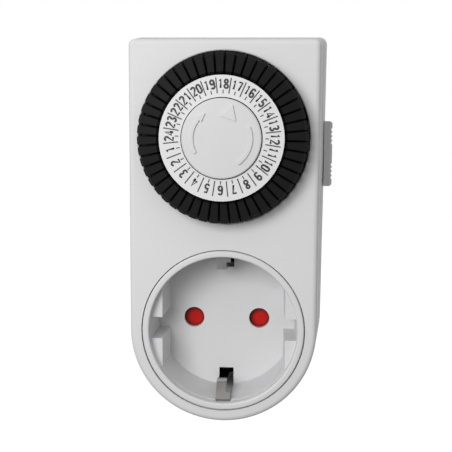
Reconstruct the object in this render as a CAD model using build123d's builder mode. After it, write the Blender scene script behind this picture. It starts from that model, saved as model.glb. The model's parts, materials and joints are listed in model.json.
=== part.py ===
"""Plug-in timer switch: a day dial with tappets, its motor drive, a socket outlet and a plug.

Millimetres. X points right, Y into the wall outlet, Z up. The origin lies on the plug face,
midway between the two pins. "Depth" is the distance behind the front face of the housing.
"""
from build123d import *
from math import cos, radians, sin
import os

os.makedirs("parts", exist_ok=True)

# ---- Socket outlet and plug (standard sizes of the two-pole earthed system) ----
PIN_SPACING = 19.0
PIN_R = 2.4
PIN_LENGTH = 19.0
PIN_SHANK_R = 2.2
PIN_FLANGE_R = 3.4
PIN_FLANGE_T = 1.5
MOUTH_R = 20.4
FLOOR_R = 19.9
RECESS_DEPTH = 17.5
FLOOR_T = 1.5
INSERT_RIM = 1.8
INSERT_FLANGE = 1.2
INSERT_FLANGE_T = 1.6
INSERT_EDGE_ROUND = 0.5
SEAM = 0.25
PIN_ENTRY_R = 2.95
RIB_FRONT = 3.0
RIB_FLAT_FRONT = 17.0
RIB_FLAT_FLOOR = 16.5
CHANNEL_WIDTH = 6.0
EARTH_SLOT_WIDTH = 4.2
EARTH_SLOT_INNER = 15.0
EARTH_SLOT_OUTER = 20.9
EARTH_SLOT_FRONT = 1.5
BOSS_R = 18.7
BOSS_FLAT = 16.0
BOSS_KEY = 5.4
BOSS_LENGTH = 17.0
BOSS_WALL = 2.0
PLUG_WALL = 2.5
PLUG_EDGE_ROUND = 0.8

# ---- Fits ----
RUNNING = 0.05
LOOSE = 0.1
SIDE_GAP = 0.2
WALL_GAP = 0.3

# ---- Dial ----
TAPPET_OUTER_R = 22.4
TAPPET_INNER_R = 16.45
TAPPET_COUNT = 48
TAPPET_GAP_ANGLE = 1.3
TAPPET_TURN = -1.9
TOP_HOUR = 18
TAPPET_INNER_FRONT = -7.6
TAPPET_CREST_R = 17.1
TAPPET_CREST_FRONT = -8.3
TAPPET_SHOULDER_STEP = 0.8
TAPPET_SHOULDER_FRONT = -6.6
TAPPET_OUTER_FRONT = -5.8
TAPPET_HEAD_BACK = -1.8
TAPPET_CORNER_ROUND = 0.5
TAPPET_BEVEL = 0.2
FOOT_INNER_R = 17.2
FOOT_LENGTH = 2.2
FOOT_WIDTH = 1.0
FOOT_TIP = 3.4
WELL_GAP = 0.6
COLLAR_WALL = 1.2
COLLAR_BACK = 5.0
WELL_EDGE_ROUND = 0.4
DRUM_R = 16.2
DRUM_WALL = 1.5
DIAL_FLANGE_STEP = 0.4
DIAL_FLANGE_FRONT = 0.8
DIAL_FLANGE_T = 1.4
HUB_R = 5.5
POST_R = 2.95
RING_INNER_R = 10.6
RING_FRONT = -9.0
RING_T = 1.2
RING_LIP_T = 1.0
RING_LIP_LENGTH = 1.5
CAP_R = 10.35
CAP_FRONT = -9.85
CAP_T = 1.25
CAP_EDGE_ROUND = 0.4
CAP_STEM_R = 1.48
CAP_STEM_LENGTH = 9.6
CAP_RELIEF = 0.45
POINTER_ANGLE = 71.0
POINTER_BASE_R = 5.4
POINTER_TIP_R = 9.0
POINTER_HALF_BASE = 2.1
ARROW_R = 7.65
ARROW_WIDTH = 0.78
ARROW_TAIL = 209.0
ARROW_NECK = 140.0
ARROW_HEAD_SWEEP = -17.0
ARROW_HEAD_HALF = 1.0
SECOND_ARC_START = 23.0
SECOND_ARC_END = -57.0

# ---- Housing ----
FACE_MARGIN = 2.45
TOP_MARGIN = 2.9
BRIDGE = 7.25
FLARE = 3.0
LOW_FLARE = 2.3
PARTING = 12.0
WALL = 2.0
EDGE_ROUND = 1.4
BACK_ROUND = 2.0
FRONT_CORNER = 1.6
BACK_CORNER = 2.2
PARTING_BEVEL = 0.25
SMALLEST_CORNER = 0.5
TONGUE_LENGTH = 2.5
TONGUE_ROOT = 4.0
TONGUE_T = 1.1
TONGUE_WIDTH = 10.0
SCREW_INSET_SIDE = 4.75
SCREW_INSET_TOP = 4.0
SCREW_BOSS_R = 2.6
SCREW_TUBE_R = 3.3
SCREW_R = 1.45
SCREW_HEAD_R = 2.3
SCREW_HEAD_T = 2.0
SCREW_SEAT = 20.0
SCREW_TIP = 6.0
SCREW_SLOT_WIDTH = 0.6
SCREW_SLOT_DEPTH = 0.7
SUPPORT_RING_T = 1.2

# ---- Mechanism plates ----
PLATE_T = 1.4
FRONT_PLATE_FRONT = 9.0
PLATE_SPACE = 7.0
PLATE_LEFT_INSET = 1.85
PLATE_RIGHT_INSET = 3.95
LOW_PILLAR_INSET = 6.45
TOP_PILLAR_X = 3.2
PILLAR_R = 1.5
SLIM_PILLAR_R = 1.2
MOTOR_SEAT_T = 0.8
MOTOR_SEAT_DEPTH = 2.5

# ---- Gear train ----
MODULE = 0.35
ADDENDUM = 0.3
DEDENDUM = 0.4
ROOT_SHARE = 0.23
TIP_SHARE = 0.10
ARBOR_R = 0.3
ARBOR_FIT = 0.03
WHEEL_T = 0.8
LAYER_PITCH = 1.3
WHEEL_PLAY = 0.4
PINION_REACH = 0.2
GEAR_HUB_R = 0.6
ROTOR_TEETH = 6
FAST_PINION_TEETH = 6
SLOW_PINION_TEETH = 8
WHEEL_TEETH = 60
CLUTCH_TEETH = 64
DIAL_TEETH = 72
DIAL_GEAR_FRONT = 6.6
DIAL_GEAR_T = 1.8
CLUTCH_SHAFT_R = 1.2
CLUTCH_SPRING_R = 3.0
CLUTCH_COLLAR_R = 1.6
CLUTCH_DIRECTION = 150.0
WHEEL_4_DIRECTION = -90.0
WHEEL_3_DIRECTION = -20.0
WHEEL_2_DIRECTION = -12.0
WHEEL_1_DIRECTION = 100.0
ROTOR_DIRECTION = 175.0

# ---- Motor ----
MOTOR_R = 15.2
MOTOR_LENGTH = 8.3
MOTOR_WALL = 0.8
CLAW_R = 6.0
CLAW_T = 0.8
CLAW_WIDTH = 1.5
CLAW_COUNT = 8
CLAW_CLEAR = 1.0
COIL_INNER_R = 7.0
COIL_GROOVE = 1.0
COIL_CHEEK = 0.8
MAGNET_R = 5.0
ROTOR_SHAFT_R = 0.5
ROTOR_HOLE_R = 1.7

# ---- Override slider ----
SLIDER_DROP = 4.8
SLIDER_LENGTH = 18.6
SLIDER_FRONT = 20.0
SLIDER_BACK = 27.5
SLIDER_PROUD = 4.5
SLIDER_GROOVE_R = 0.5
SLIDER_GROOVE_DEPTH = 0.35
SLIDER_GROOVE_PITCH = 1.25
SLIDER_GROOVE_COUNT = 4
SLIDER_GROOVE_INSET = 2.4
SLIDER_END_ROUND = 1.0
SLIDER_TRAVEL = 4.0
NECK_LENGTH = 6.2
NECK_T = 4.8
NECK_FRONT = 21.2
INNER_PLATE_T = 1.5
INNER_PLATE_FRONT = 8.0
INNER_PLATE_BACK = 26.5
WEDGE_T = 1.0
WEDGE_BACK = 10.2
WEDGE_SLOPE = 0.0509
WEDGE_GAP = 0.03

# ---- Follower lever ----
LEVER_FRONT = 6.6
LEVER_T = 1.8
LEVER_WIDTH = 4.4
LEVER_RISE = 13.9
LEVER_LEFT = 5.6
LEVER_NECK_LENGTH = 1.7
LEVER_NECK_WIDTH = 2.9
PIVOT_MARGIN = 2.0
PIVOT_DEPTH = 7.5
TRUNNION_R = 0.9
TRUNNION_REACH = 1.3
EAR_T = 1.2
EAR_WIDTH = 2.7
EAR_FRONT = 6.0
EAR_SNAP_WIDTH = 1.5
NOSE_STEP = 9
NOSE_LENGTH = 1.8
NOSE_TIP = 4.7
NOSE_HALF_ANGLE = 30.0
LEG_OFFSET = 5.0
LEG_WIDTH = 1.8
TAIL_SETBACK = 0.35
TAIL_WIDTH = 1.0
TAIL_FRONT = 7.0

# ---- Microswitch ----
CASE_WIDTH = 9.0
CASE_HEIGHT = 20.0
CASE_T = 6.4
CASE_GAP = 0.45
CASE_DROP = 0.5
CASE_REST_STEP = 8.0
CASE_REST_RISE = 5.5
CASE_REST_T = 1.5
CASE_WALL = 1.0
BUTTON_INSET = 2.6
BUTTON_DROP = 2.9
BUTTON_HEAD_R = 1.3
BUTTON_HEAD_T = 0.6
BUTTON_STEM_R = 0.8
BUTTON_FRONT = 17.6
BLADE_T = 0.25
BLADE_FOOT_INSET = 2.1
BLADE_TOP_INSET = 1.5
BLADE_LEFT_INSET = 1.4
BLADE_WIDTH = 5.6

# ---- Contacts and strips ----
SLEEVE_R = 3.1
SLEEVE_FRONT = 23.0
SLEEVE_SLIT = 0.8
SLEEVE_SLIT_LENGTH = 8.0
CONTACT_T = 0.8
LIVE_SLEEVE_LENGTH = 12.0
NEUTRAL_SLEEVE_LENGTH = 14.0
LIVE_STUB_LENGTH = 3.0
PIN_STUB_R = 2.0
STRIP_T = 0.6
STRIP_WIDTH = 2.2
STRIP_SPREAD = 2.0
LIVE_SHELF_Z = 8.0
SWITCHED_SHELF_Z = 9.8
LIVE_LAYER = 22.6
SWITCHED_LAYER = 24.0
NEUTRAL_DROP = 1.8
LIVE_JOG_DROP = 12.6
SWITCHED_JOG_DROP = 15.6
LIVE_TERMINAL_INSET = 2.3
TERMINAL_PITCH = 4.0
LIVE_TERMINAL_LENGTH = 3.5
SWITCHED_TERMINAL_LENGTH = 15.5
SHELF_T = 1.75
SHELF_GAP = 0.15
SHELF_BACK = 41.0
EARTH_T = 0.8
SOCKET_EARTH_FRONT = 23.6
SOCKET_EARTH_LEFT = -2.1
SOCKET_EARTH_WIDTH = 2.7
SOCKET_ARM_Z = 17.8
CLIP_BEND_DEPTH = 13.0
CLIP_BULGE_BACK = 10.0
CLIP_BULGE_FRONT = 7.0
CLIP_BULGE_Z = 16.4
CLIP_END_DEPTH = 2.8
CLIP_END_Z = 20.15
CLIP_PLATE_START = 0.62
CLIP_PLATE_WIDTH = 3.7
CLIP_GROOVE_COUNT = 4
CLIP_GROOVE_WIDTH = 0.28
CLIP_GROOVE_DEPTH = 0.25
CLIP_GROOVE_LENGTH = 1.4
PLUG_ARM_Z = 18.0
PLUG_ARM_WIDTH = 5.5
PLUG_ARM_END = 44.9
EYELET_R = 1.0
GROOVE_BACK = 45.5

# ---- Shutter ----
SHUTTER_T = 1.0
SHUTTER_LOBE_R = 3.6
SHUTTER_BAR = 6.0
SHUTTER_STUD_R = 1.45
SHUTTER_SPACE = 1.4
COVER_R = 16.0
COVER_T = 1.0
COVER_PIN_HOLE_R = 3.0
SPACER_R = 1.4
SPACER_PEG_R = 0.95
SPACER_SPOT_R = 11.0
SPACER_ANGLE = 120.0
SPRING_R = 0.5
SPRING_WIRE_R = 0.1
SPRING_PITCH = 1.0
SPRING_X = -9.0
SPRING_FOOT_Z = -11.6
SPRING_BLOCK_T = 1.4
SPRING_BLOCK_WIDTH = 2.4

# ---- Helpers ----
def depth(distance):
    """Y of a plane this far behind the front face."""
    return FRONT_Y + distance


def facing(distance, x=0.0, z=0.0):
    """Plane parallel to the front face, seen from the front, with its origin at x, z."""
    return Plane(origin=(x, depth(distance), z), x_dir=(1, 0, 0), z_dir=(0, -1, 0))


def polar(radius, angle):
    """Point at an angle counted anticlockwise from the right."""
    return (radius * cos(radians(angle)), radius * sin(radians(angle)))


def beside(spot, distance, angle):
    """Point at a distance and direction from another."""
    step = polar(distance, angle)
    return (spot[0] + step[0], spot[1] + step[1])


def gear_distance(teeth_a, teeth_b):
    """Centre distance of two meshing gears."""
    return MODULE * (teeth_a + teeth_b) / 2


# ---- Socket and dial, worked out from the values above ----
PIN_X = PIN_SPACING / 2
INSERT_R = MOUTH_R + INSERT_RIM
INSERT_OPENING_R = INSERT_R + SEAM
INSERT_BACK = RECESS_DEPTH + FLOOR_T
COVER_FRONT = INSERT_BACK + SHUTTER_SPACE
TAPPET_SHOULDER_R = TAPPET_OUTER_R - TAPPET_SHOULDER_STEP
TAPPET_PITCH = 360 / TAPPET_COUNT
FOOT_MIDDLE_R = FOOT_INNER_R + FOOT_LENGTH / 2
DIAL_FLANGE_R = TAPPET_OUTER_R - DIAL_FLANGE_STEP
DIAL_WELL_R = TAPPET_OUTER_R + WELL_GAP
DIAL_Z = INSERT_OPENING_R + BRIDGE + DIAL_WELL_R
DIAL_SPOT = (0, DIAL_Z)
DIAL_AXIS = Axis((0, 0, DIAL_Z), (0, 1, 0))
DIAL_FLANGE_BACK = DIAL_FLANGE_FRONT + DIAL_FLANGE_T
DIAL_GEAR_BACK = DIAL_GEAR_FRONT + DIAL_GEAR_T
RING_BACK = RING_FRONT + RING_T
CAP_BACK = CAP_FRONT + CAP_T

# ---- Depths of the mechanism, which set the depth of the housing ----
FRONT_PLATE_BACK = FRONT_PLATE_FRONT + PLATE_T
REAR_PLATE_FRONT = FRONT_PLATE_BACK + PLATE_SPACE
REAR_PLATE_BACK = REAR_PLATE_FRONT + PLATE_T
MOTOR_FRONT = REAR_PLATE_BACK + LOOSE
MOTOR_BACK = MOTOR_FRONT + MOTOR_LENGTH
BACK_WALL_FRONT = MOTOR_BACK + WALL_GAP
HOUSING_DEPTH = BACK_WALL_FRONT + WALL
FRONT_Y = -(BOSS_LENGTH + HOUSING_DEPTH)
PLUG_FACE = HOUSING_DEPTH + BOSS_LENGTH
PLUG_WALL_FRONT = PLUG_FACE - PLUG_WALL
LIVE_BASE = SLEEVE_FRONT + LIVE_SLEEVE_LENGTH
NEUTRAL_BASE = SLEEVE_FRONT + NEUTRAL_SLEEVE_LENGTH
FLANGE_FRONT = PLUG_WALL_FRONT - PIN_FLANGE_T
LIVE_STRIP_X = PIN_X + STRIP_SPREAD
SWITCHED_STRIP_X = PIN_X - STRIP_SPREAD

# ---- Gear centres, worked back from the dial ----
CLUTCH_SPOT = beside(DIAL_SPOT, gear_distance(DIAL_TEETH, SLOW_PINION_TEETH), CLUTCH_DIRECTION)
WHEEL_4_SPOT = beside(CLUTCH_SPOT, gear_distance(CLUTCH_TEETH, SLOW_PINION_TEETH), WHEEL_4_DIRECTION)
WHEEL_3_SPOT = beside(WHEEL_4_SPOT, gear_distance(WHEEL_TEETH, SLOW_PINION_TEETH), WHEEL_3_DIRECTION)
WHEEL_2_SPOT = beside(WHEEL_3_SPOT, gear_distance(WHEEL_TEETH, FAST_PINION_TEETH), WHEEL_2_DIRECTION)
WHEEL_1_SPOT = beside(WHEEL_2_SPOT, gear_distance(WHEEL_TEETH, FAST_PINION_TEETH), WHEEL_1_DIRECTION)
ROTOR_SPOT = beside(WHEEL_1_SPOT, gear_distance(WHEEL_TEETH, ROTOR_TEETH), ROTOR_DIRECTION)
ARBOR_SPOTS = [WHEEL_1_SPOT, WHEEL_2_SPOT, WHEEL_3_SPOT, WHEEL_4_SPOT]

# ---- Switch beside the motor, lever above it ----
CASE_LEFT = ROTOR_SPOT[0] + MOTOR_R + LOOSE + MOTOR_SEAT_T + CASE_GAP
CASE_RIGHT = CASE_LEFT + CASE_WIDTH
CASE_BACK = REAR_PLATE_BACK + CASE_T
LEG_X = CASE_LEFT + BUTTON_INSET
PIVOT_X = LEG_X + LEG_OFFSET
LEVER_NECK_X = PIVOT_X - LEVER_NECK_LENGTH
LEVER_BOTTOM = DIAL_Z + LEVER_RISE
CASE_TOP = LEVER_BOTTOM + LEVER_WIDTH - CASE_DROP
CASE_BOTTOM = CASE_TOP - CASE_HEIGHT
BUTTON_Z = CASE_TOP - BUTTON_DROP

# ---- Width and height of the housing ----
HALF_WIDTH = max(DIAL_WELL_R, INSERT_OPENING_R, PIVOT_X + PIVOT_MARGIN) + FACE_MARGIN
TOP_Z = DIAL_Z + DIAL_WELL_R + TOP_MARGIN
SCREW_X = HALF_WIDTH - SCREW_INSET_SIDE
UPPER_SCREW_Z = TOP_Z - SCREW_INSET_TOP
LOWER_SCREW_Z = INSERT_OPENING_R + BRIDGE / 2
SCREW_SPOTS = [(side * SCREW_X, z) for side in (-1, 1) for z in (LOWER_SCREW_Z, UPPER_SCREW_Z)]
PLATE_LEFT = PLATE_LEFT_INSET - HALF_WIDTH
PLATE_RIGHT = HALF_WIDTH - PLATE_RIGHT_INSET
PLATE_BOTTOM = LOWER_SCREW_Z + SCREW_TUBE_R + WALL_GAP
PLATE_TOP = UPPER_SCREW_Z - SCREW_TUBE_R - WALL_GAP
LOW_PILLAR_X = HALF_WIDTH - LOW_PILLAR_INSET
LOW_PILLAR_Z = PLATE_BOTTOM + PILLAR_R + WALL_GAP
PILLAR_SPOTS = [(-LOW_PILLAR_X, LOW_PILLAR_Z), (LOW_PILLAR_X, LOW_PILLAR_Z),
                (TOP_PILLAR_X, PLATE_TOP - PILLAR_R - LOOSE)]
SLIM_PILLAR_SPOT = (-SCREW_X, PLATE_TOP - SLIM_PILLAR_R - 2 * SIDE_GAP)
SLIDER_CENTRE_Z = DIAL_Z - SLIDER_DROP
SLIDER_OUTER_X = HALF_WIDTH + SLIDER_PROUD


# ---- Outlines ----
def slug(radius, front, back, spot=(0, 0), mode=Mode.ADD):
    """Round bar along Y between two depths."""
    with Locations(facing(back, *spot)):
        Cylinder(radius, back - front, align=(Align.CENTER, Align.CENTER, Align.MIN), mode=mode)


def block(left, right, bottom, top, front, back, mode=Mode.ADD):
    """Box between two depths."""
    with Locations(facing(back, left, bottom)):
        Box(right - left, top - bottom, back - front, align=Align.MIN, mode=mode)


def wall_x(distance, z):
    """Half width of the drafted housing at a depth and a height above the outlet's centre."""
    low = HALF_WIDTH + LOW_FLARE * distance / HOUSING_DEPTH
    spread = FLARE * distance / HOUSING_DEPTH
    return low + (HALF_WIDTH + spread - low) * z / (TOP_Z + spread)


def housing_outline(distance, grow=0.0):
    """Outline of the drafted housing at a depth; a negative growth gives the inside of its wall."""
    spread = FLARE * distance / HOUSING_DEPTH
    low = wall_x(distance, 0) + grow
    half = HALF_WIDTH + spread + grow
    top = TOP_Z + spread + grow
    corner = FRONT_CORNER + (BACK_CORNER - FRONT_CORNER) * distance / HOUSING_DEPTH + grow
    with BuildSketch(facing(distance)) as outline:
        with BuildLine():
            Polyline((low, 0), (half, top), (-half, top), (-low, 0))
            ThreePointArc((-low, 0), (0, -low), (low, 0))
        make_face()
        fillet(outline.vertices().group_by(Axis.Y)[-1], max(corner, SMALLEST_CORNER))
    return outline.sketch


def keyed_outline(distance, radius, flat, key):
    """Circle with flats left and right, and a key across them."""
    with BuildSketch(facing(distance)) as outline:
        Rectangle(2 * radius, key)
        Rectangle(2 * flat, 2 * radius)
        Circle(radius, mode=Mode.INTERSECT)
    return outline.sketch


def gear_outline(teeth, first_tooth):
    """Gear with straight-sided teeth; first_tooth is the direction of one tooth."""
    pitch_r = MODULE * teeth / 2
    step = 360 / teeth
    corners = []
    for tooth in range(teeth):
        centre = first_tooth + tooth * step
        corners.append(polar(pitch_r - DEDENDUM, centre - ROOT_SHARE * step))
        corners.append(polar(pitch_r + ADDENDUM, centre - TIP_SHARE * step))
        corners.append(polar(pitch_r + ADDENDUM, centre + TIP_SHARE * step))
        corners.append(polar(pitch_r - DEDENDUM, centre + ROOT_SHARE * step))
    with BuildSketch() as outline:
        with BuildLine():
            Polyline(*corners, close=True)
        make_face()
    return outline.sketch


def mesh_phase(teeth_a, phase_a, direction, teeth_b):
    """Direction of a tooth of gear b that meshes with gear a, which sees b in this direction."""
    share = ((direction - phase_a) / (360 / teeth_a)) % 1
    return direction + 180 - (360 / teeth_b) * (0.5 - share)


def layer(number):
    """Depth of the front of a wheel: wheel 1 runs next to the rear plate."""
    return REAR_PLATE_FRONT - WHEEL_PLAY - WHEEL_T - (number - 1) * LAYER_PITCH


# ---- Tooth phases ----
DIAL_PHASE = 0.0
CLUTCH_PINION_PHASE = mesh_phase(DIAL_TEETH, DIAL_PHASE, CLUTCH_DIRECTION, SLOW_PINION_TEETH)
PINION_4_PHASE = mesh_phase(CLUTCH_TEETH, 0, WHEEL_4_DIRECTION, SLOW_PINION_TEETH)
PINION_3_PHASE = mesh_phase(WHEEL_TEETH, 0, WHEEL_3_DIRECTION, SLOW_PINION_TEETH)
PINION_2_PHASE = mesh_phase(WHEEL_TEETH, 0, WHEEL_2_DIRECTION, FAST_PINION_TEETH)
PINION_1_PHASE = mesh_phase(WHEEL_TEETH, 0, WHEEL_1_DIRECTION, FAST_PINION_TEETH)
ROTOR_PHASE = mesh_phase(WHEEL_TEETH, 0, ROTOR_DIRECTION, ROTOR_TEETH)

# ---- Front housing ----
SLOT_FRONT = NECK_FRONT - LOOSE
SLOT_BACK = NECK_FRONT + NECK_T + LOOSE
SLOT_TOP = SLIDER_CENTRE_Z + NECK_LENGTH / 2 + LOOSE
SLOT_BOTTOM = SLIDER_CENTRE_Z - NECK_LENGTH / 2 - SLIDER_TRAVEL - LOOSE
TONGUE_OUTER_R = wall_x(PARTING, 0) - WALL - LOOSE

# tab of the front housing that closes the slider's slot from the parting line to the slider
with BuildPart() as slot_tab:
    loft([housing_outline(PARTING - WALL), housing_outline(SLOT_FRONT - LOOSE)], ruled=True)
    loft([housing_outline(PARTING - WALL, -WALL), housing_outline(SLOT_FRONT - LOOSE, -WALL)],
         ruled=True, mode=Mode.SUBTRACT)
    block(PLATE_RIGHT, SLIDER_OUTER_X, SLOT_BOTTOM + LOOSE, SLOT_TOP - LOOSE, 0, SLOT_FRONT, Mode.INTERSECT)

with BuildPart() as front_housing:
    loft([housing_outline(0), housing_outline(PARTING - PARTING_BEVEL),
          housing_outline(PARTING, -PARTING_BEVEL)], ruled=True)
    fillet(front_housing.faces().sort_by(Axis.Y)[0].edges(), EDGE_ROUND)
    loft([housing_outline(WALL, -WALL), housing_outline(PARTING, -WALL)], ruled=True, mode=Mode.SUBTRACT)
    # collar round the dial well, and the opening for the socket insert
    slug(DIAL_WELL_R + COLLAR_WALL, WALL / 2, COLLAR_BACK, DIAL_SPOT)
    slug(DIAL_WELL_R, 0, COLLAR_BACK, DIAL_SPOT, Mode.SUBTRACT)
    slug(INSERT_OPENING_R, 0, WALL, mode=Mode.SUBTRACT)
    # screw bosses, and posts that press on the front plate
    for screw_spot in SCREW_SPOTS:
        slug(SCREW_BOSS_R, WALL / 2, PARTING, screw_spot)
        slug(SCREW_R + RUNNING, SCREW_TIP - WALL_GAP, PARTING, screw_spot, Mode.SUBTRACT)
    for post_spot in PILLAR_SPOTS[:2] + [SLIM_PILLAR_SPOT]:
        slug(SLIM_PILLAR_R, WALL / 2, FRONT_PLATE_FRONT, post_spot)
    add(slot_tab.part)
    # tongue that hooks the lower end inside the rear housing
    with BuildSketch(facing(PARTING + TONGUE_LENGTH)):
        Circle(TONGUE_OUTER_R)
        Circle(TONGUE_OUTER_R - TONGUE_T, mode=Mode.SUBTRACT)
        with Locations((0, -TONGUE_OUTER_R)):
            Rectangle(TONGUE_WIDTH, 2 * TONGUE_T + WALL, mode=Mode.INTERSECT)
    extrude(amount=TONGUE_LENGTH + TONGUE_ROOT)
    well_edges = front_housing.edges().filter_by(GeomType.CIRCLE)
    well_edges = well_edges.filter_by(lambda edge: abs(edge.radius - DIAL_WELL_R) < SEAM)
    fillet(well_edges.sort_by(Axis.Y)[0], WELL_EDGE_ROUND)

# ---- Rear housing with the plug boss ----
GROOVE_FLOOR = PLUG_ARM_Z - EARTH_T / 2 - LOOSE
GROOVE_HALF = PLUG_ARM_WIDTH / 2 + SIDE_GAP

with BuildPart() as rear_housing:
    loft([housing_outline(PARTING, -PARTING_BEVEL), housing_outline(PARTING + PARTING_BEVEL),
          housing_outline(HOUSING_DEPTH)], ruled=True)
    fillet(rear_housing.faces().sort_by(Axis.Y)[-1].edges(), BACK_ROUND)
    extrude(keyed_outline(PLUG_FACE, BOSS_R, BOSS_FLAT, BOSS_KEY), amount=BOSS_LENGTH + WALL / 2)
    fillet(rear_housing.faces().sort_by(Axis.Y)[-1].edges(), PLUG_EDGE_ROUND)
    loft([housing_outline(PARTING, -WALL), housing_outline(BACK_WALL_FRONT, -WALL)],
         ruled=True, mode=Mode.SUBTRACT)
    boss_inside = keyed_outline(PLUG_WALL_FRONT, BOSS_R - BOSS_WALL, BOSS_FLAT - BOSS_WALL,
                                BOSS_KEY - 2 * BOSS_WALL)
    extrude(boss_inside, amount=PLUG_WALL_FRONT - BACK_WALL_FRONT, mode=Mode.SUBTRACT)
    # ring behind the socket insert, open where the strips pass
    with BuildSketch(facing(HOUSING_DEPTH - WALL / 2)):
        Circle(INSERT_R)
        Circle(INSERT_R - SUPPORT_RING_T, mode=Mode.SUBTRACT)
    extrude(amount=HOUSING_DEPTH - WALL / 2 - INSERT_BACK)
    for left, right in ((SWITCHED_STRIP_X, LIVE_STRIP_X), (-PIN_X, -PIN_X)):
        block(left - STRIP_WIDTH, right + STRIP_WIDTH, SLEEVE_R, INSERT_R,
              INSERT_BACK, BACK_WALL_FRONT, Mode.SUBTRACT)
    # grooves for the plug's earth arms
    for bottom, top in ((GROOVE_FLOOR, BOSS_R), (-BOSS_R, -GROOVE_FLOOR)):
        block(-GROOVE_HALF, GROOVE_HALF, bottom, top, BACK_WALL_FRONT, GROOVE_BACK, Mode.SUBTRACT)
    # pin holes, and the shelf under the contact sleeves
    for side in (-1, 1):
        slug(PIN_SHANK_R + RUNNING, PLUG_WALL_FRONT, PLUG_FACE, (side * PIN_X, 0), Mode.SUBTRACT)
    shelf_top = -SLEEVE_R - SHELF_GAP
    block(-BOSS_FLAT + BOSS_WALL / 2, BOSS_FLAT - BOSS_WALL / 2, shelf_top - SHELF_T, shelf_top,
          BACK_WALL_FRONT, SHELF_BACK)
    # screw tubes
    for screw_spot in SCREW_SPOTS:
        slug(SCREW_TUBE_R, PARTING, HOUSING_DEPTH - WALL / 2, screw_spot)
        slug(SCREW_R + RUNNING, PARTING, SCREW_SEAT, screw_spot, Mode.SUBTRACT)
        slug(SCREW_HEAD_R + LOOSE, SCREW_SEAT, HOUSING_DEPTH, screw_spot, Mode.SUBTRACT)
    # posts that press on the rear plate, and rests under the microswitch
    for post_spot in PILLAR_SPOTS + [SLIM_PILLAR_SPOT]:
        slug(SLIM_PILLAR_R, REAR_PLATE_BACK, HOUSING_DEPTH - WALL / 2, post_spot)
    for bottom in (CASE_BOTTOM + CASE_REST_RISE, CASE_BOTTOM + CASE_REST_RISE + CASE_REST_STEP):
        block(CASE_LEFT, CASE_RIGHT, bottom, bottom + CASE_REST_T, CASE_BACK, HOUSING_DEPTH - WALL / 2)
    # the slider's slot, open at the parting line
    block(PLATE_RIGHT, SLIDER_OUTER_X, SLOT_BOTTOM, SLOT_TOP, PARTING, SLOT_BACK, Mode.SUBTRACT)

# ---- Housing screws ----
with BuildPart() as housing_screws:
    for screw_spot in SCREW_SPOTS:
        slug(SCREW_R, SCREW_TIP, SCREW_SEAT, screw_spot)
        slug(SCREW_HEAD_R, SCREW_SEAT, SCREW_SEAT + SCREW_HEAD_T, screw_spot)
        with BuildSketch(facing(SCREW_SEAT + SCREW_HEAD_T, *screw_spot)):
            Rectangle(SCREW_SLOT_WIDTH, SCREW_HEAD_R + SCREW_R)
            Rectangle(SCREW_HEAD_R + SCREW_R, SCREW_SLOT_WIDTH)
        extrude(amount=SCREW_SLOT_DEPTH, mode=Mode.SUBTRACT)

# ---- Socket insert ----
EARTH_SLOT_HALF = EARTH_SLOT_WIDTH / 2
SPACER_SPOTS = [polar(SPACER_SPOT_R, SPACER_ANGLE), polar(SPACER_SPOT_R, SPACER_ANGLE + 180)]
COVER_BACK = COVER_FRONT + COVER_T


def recess_outline(distance, flat):
    """Round recess between its two guide ribs, with the channel through each rib."""
    radius = MOUTH_R - (MOUTH_R - FLOOR_R) * distance / RECESS_DEPTH
    return keyed_outline(distance, radius, flat, CHANNEL_WIDTH)


with BuildPart() as socket_insert:
    slug(INSERT_R, 0, INSERT_BACK)
    slug(INSERT_R + INSERT_FLANGE, WALL, WALL + INSERT_FLANGE_T)
    with BuildSketch(facing(RIB_FRONT)):
        Circle(MOUTH_R)
    extrude(amount=RIB_FRONT, mode=Mode.SUBTRACT)
    loft([recess_outline(RIB_FRONT, RIB_FLAT_FRONT), recess_outline(RECESS_DEPTH, RIB_FLAT_FLOOR)],
         ruled=True, mode=Mode.SUBTRACT)
    rim_edges = socket_insert.faces().sort_by(Axis.Y)[0].edges()
    fillet(rim_edges, INSERT_EDGE_ROUND)
    for side in (-1, 1):
        slug(PIN_ENTRY_R, RECESS_DEPTH, INSERT_BACK, (side * PIN_X, 0), Mode.SUBTRACT)
    for bottom, top in ((EARTH_SLOT_INNER, EARTH_SLOT_OUTER), (-EARTH_SLOT_OUTER, -EARTH_SLOT_INNER)):
        block(-EARTH_SLOT_HALF, EARTH_SLOT_HALF, bottom, top, EARTH_SLOT_FRONT, INSERT_BACK, Mode.SUBTRACT)
    # stud for the shutter, spacers for its cover, and the block behind its spring
    slug(SHUTTER_STUD_R, INSERT_BACK, COVER_BACK + SIDE_GAP)
    for spacer_spot in SPACER_SPOTS:
        slug(SPACER_R, INSERT_BACK, COVER_FRONT, spacer_spot)
        slug(SPACER_PEG_R, INSERT_BACK, COVER_BACK + SIDE_GAP, spacer_spot)
    block(SPRING_X - SPRING_BLOCK_WIDTH / 2, SPRING_X + SPRING_BLOCK_WIDTH / 2,
          SPRING_FOOT_Z - SPRING_BLOCK_T, SPRING_FOOT_Z, INSERT_BACK, COVER_FRONT)

# ---- Shutter, its cover and its spring ----
with BuildPart() as shutter:
    with BuildSketch(facing(INSERT_BACK + LOOSE + SHUTTER_T)):
        Rectangle(PIN_SPACING, SHUTTER_BAR)
        with Locations((-PIN_X, 0), (PIN_X, 0)):
            Circle(SHUTTER_LOBE_R)
        Circle(SHUTTER_STUD_R + RUNNING, mode=Mode.SUBTRACT)
    extrude(amount=SHUTTER_T)

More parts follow.
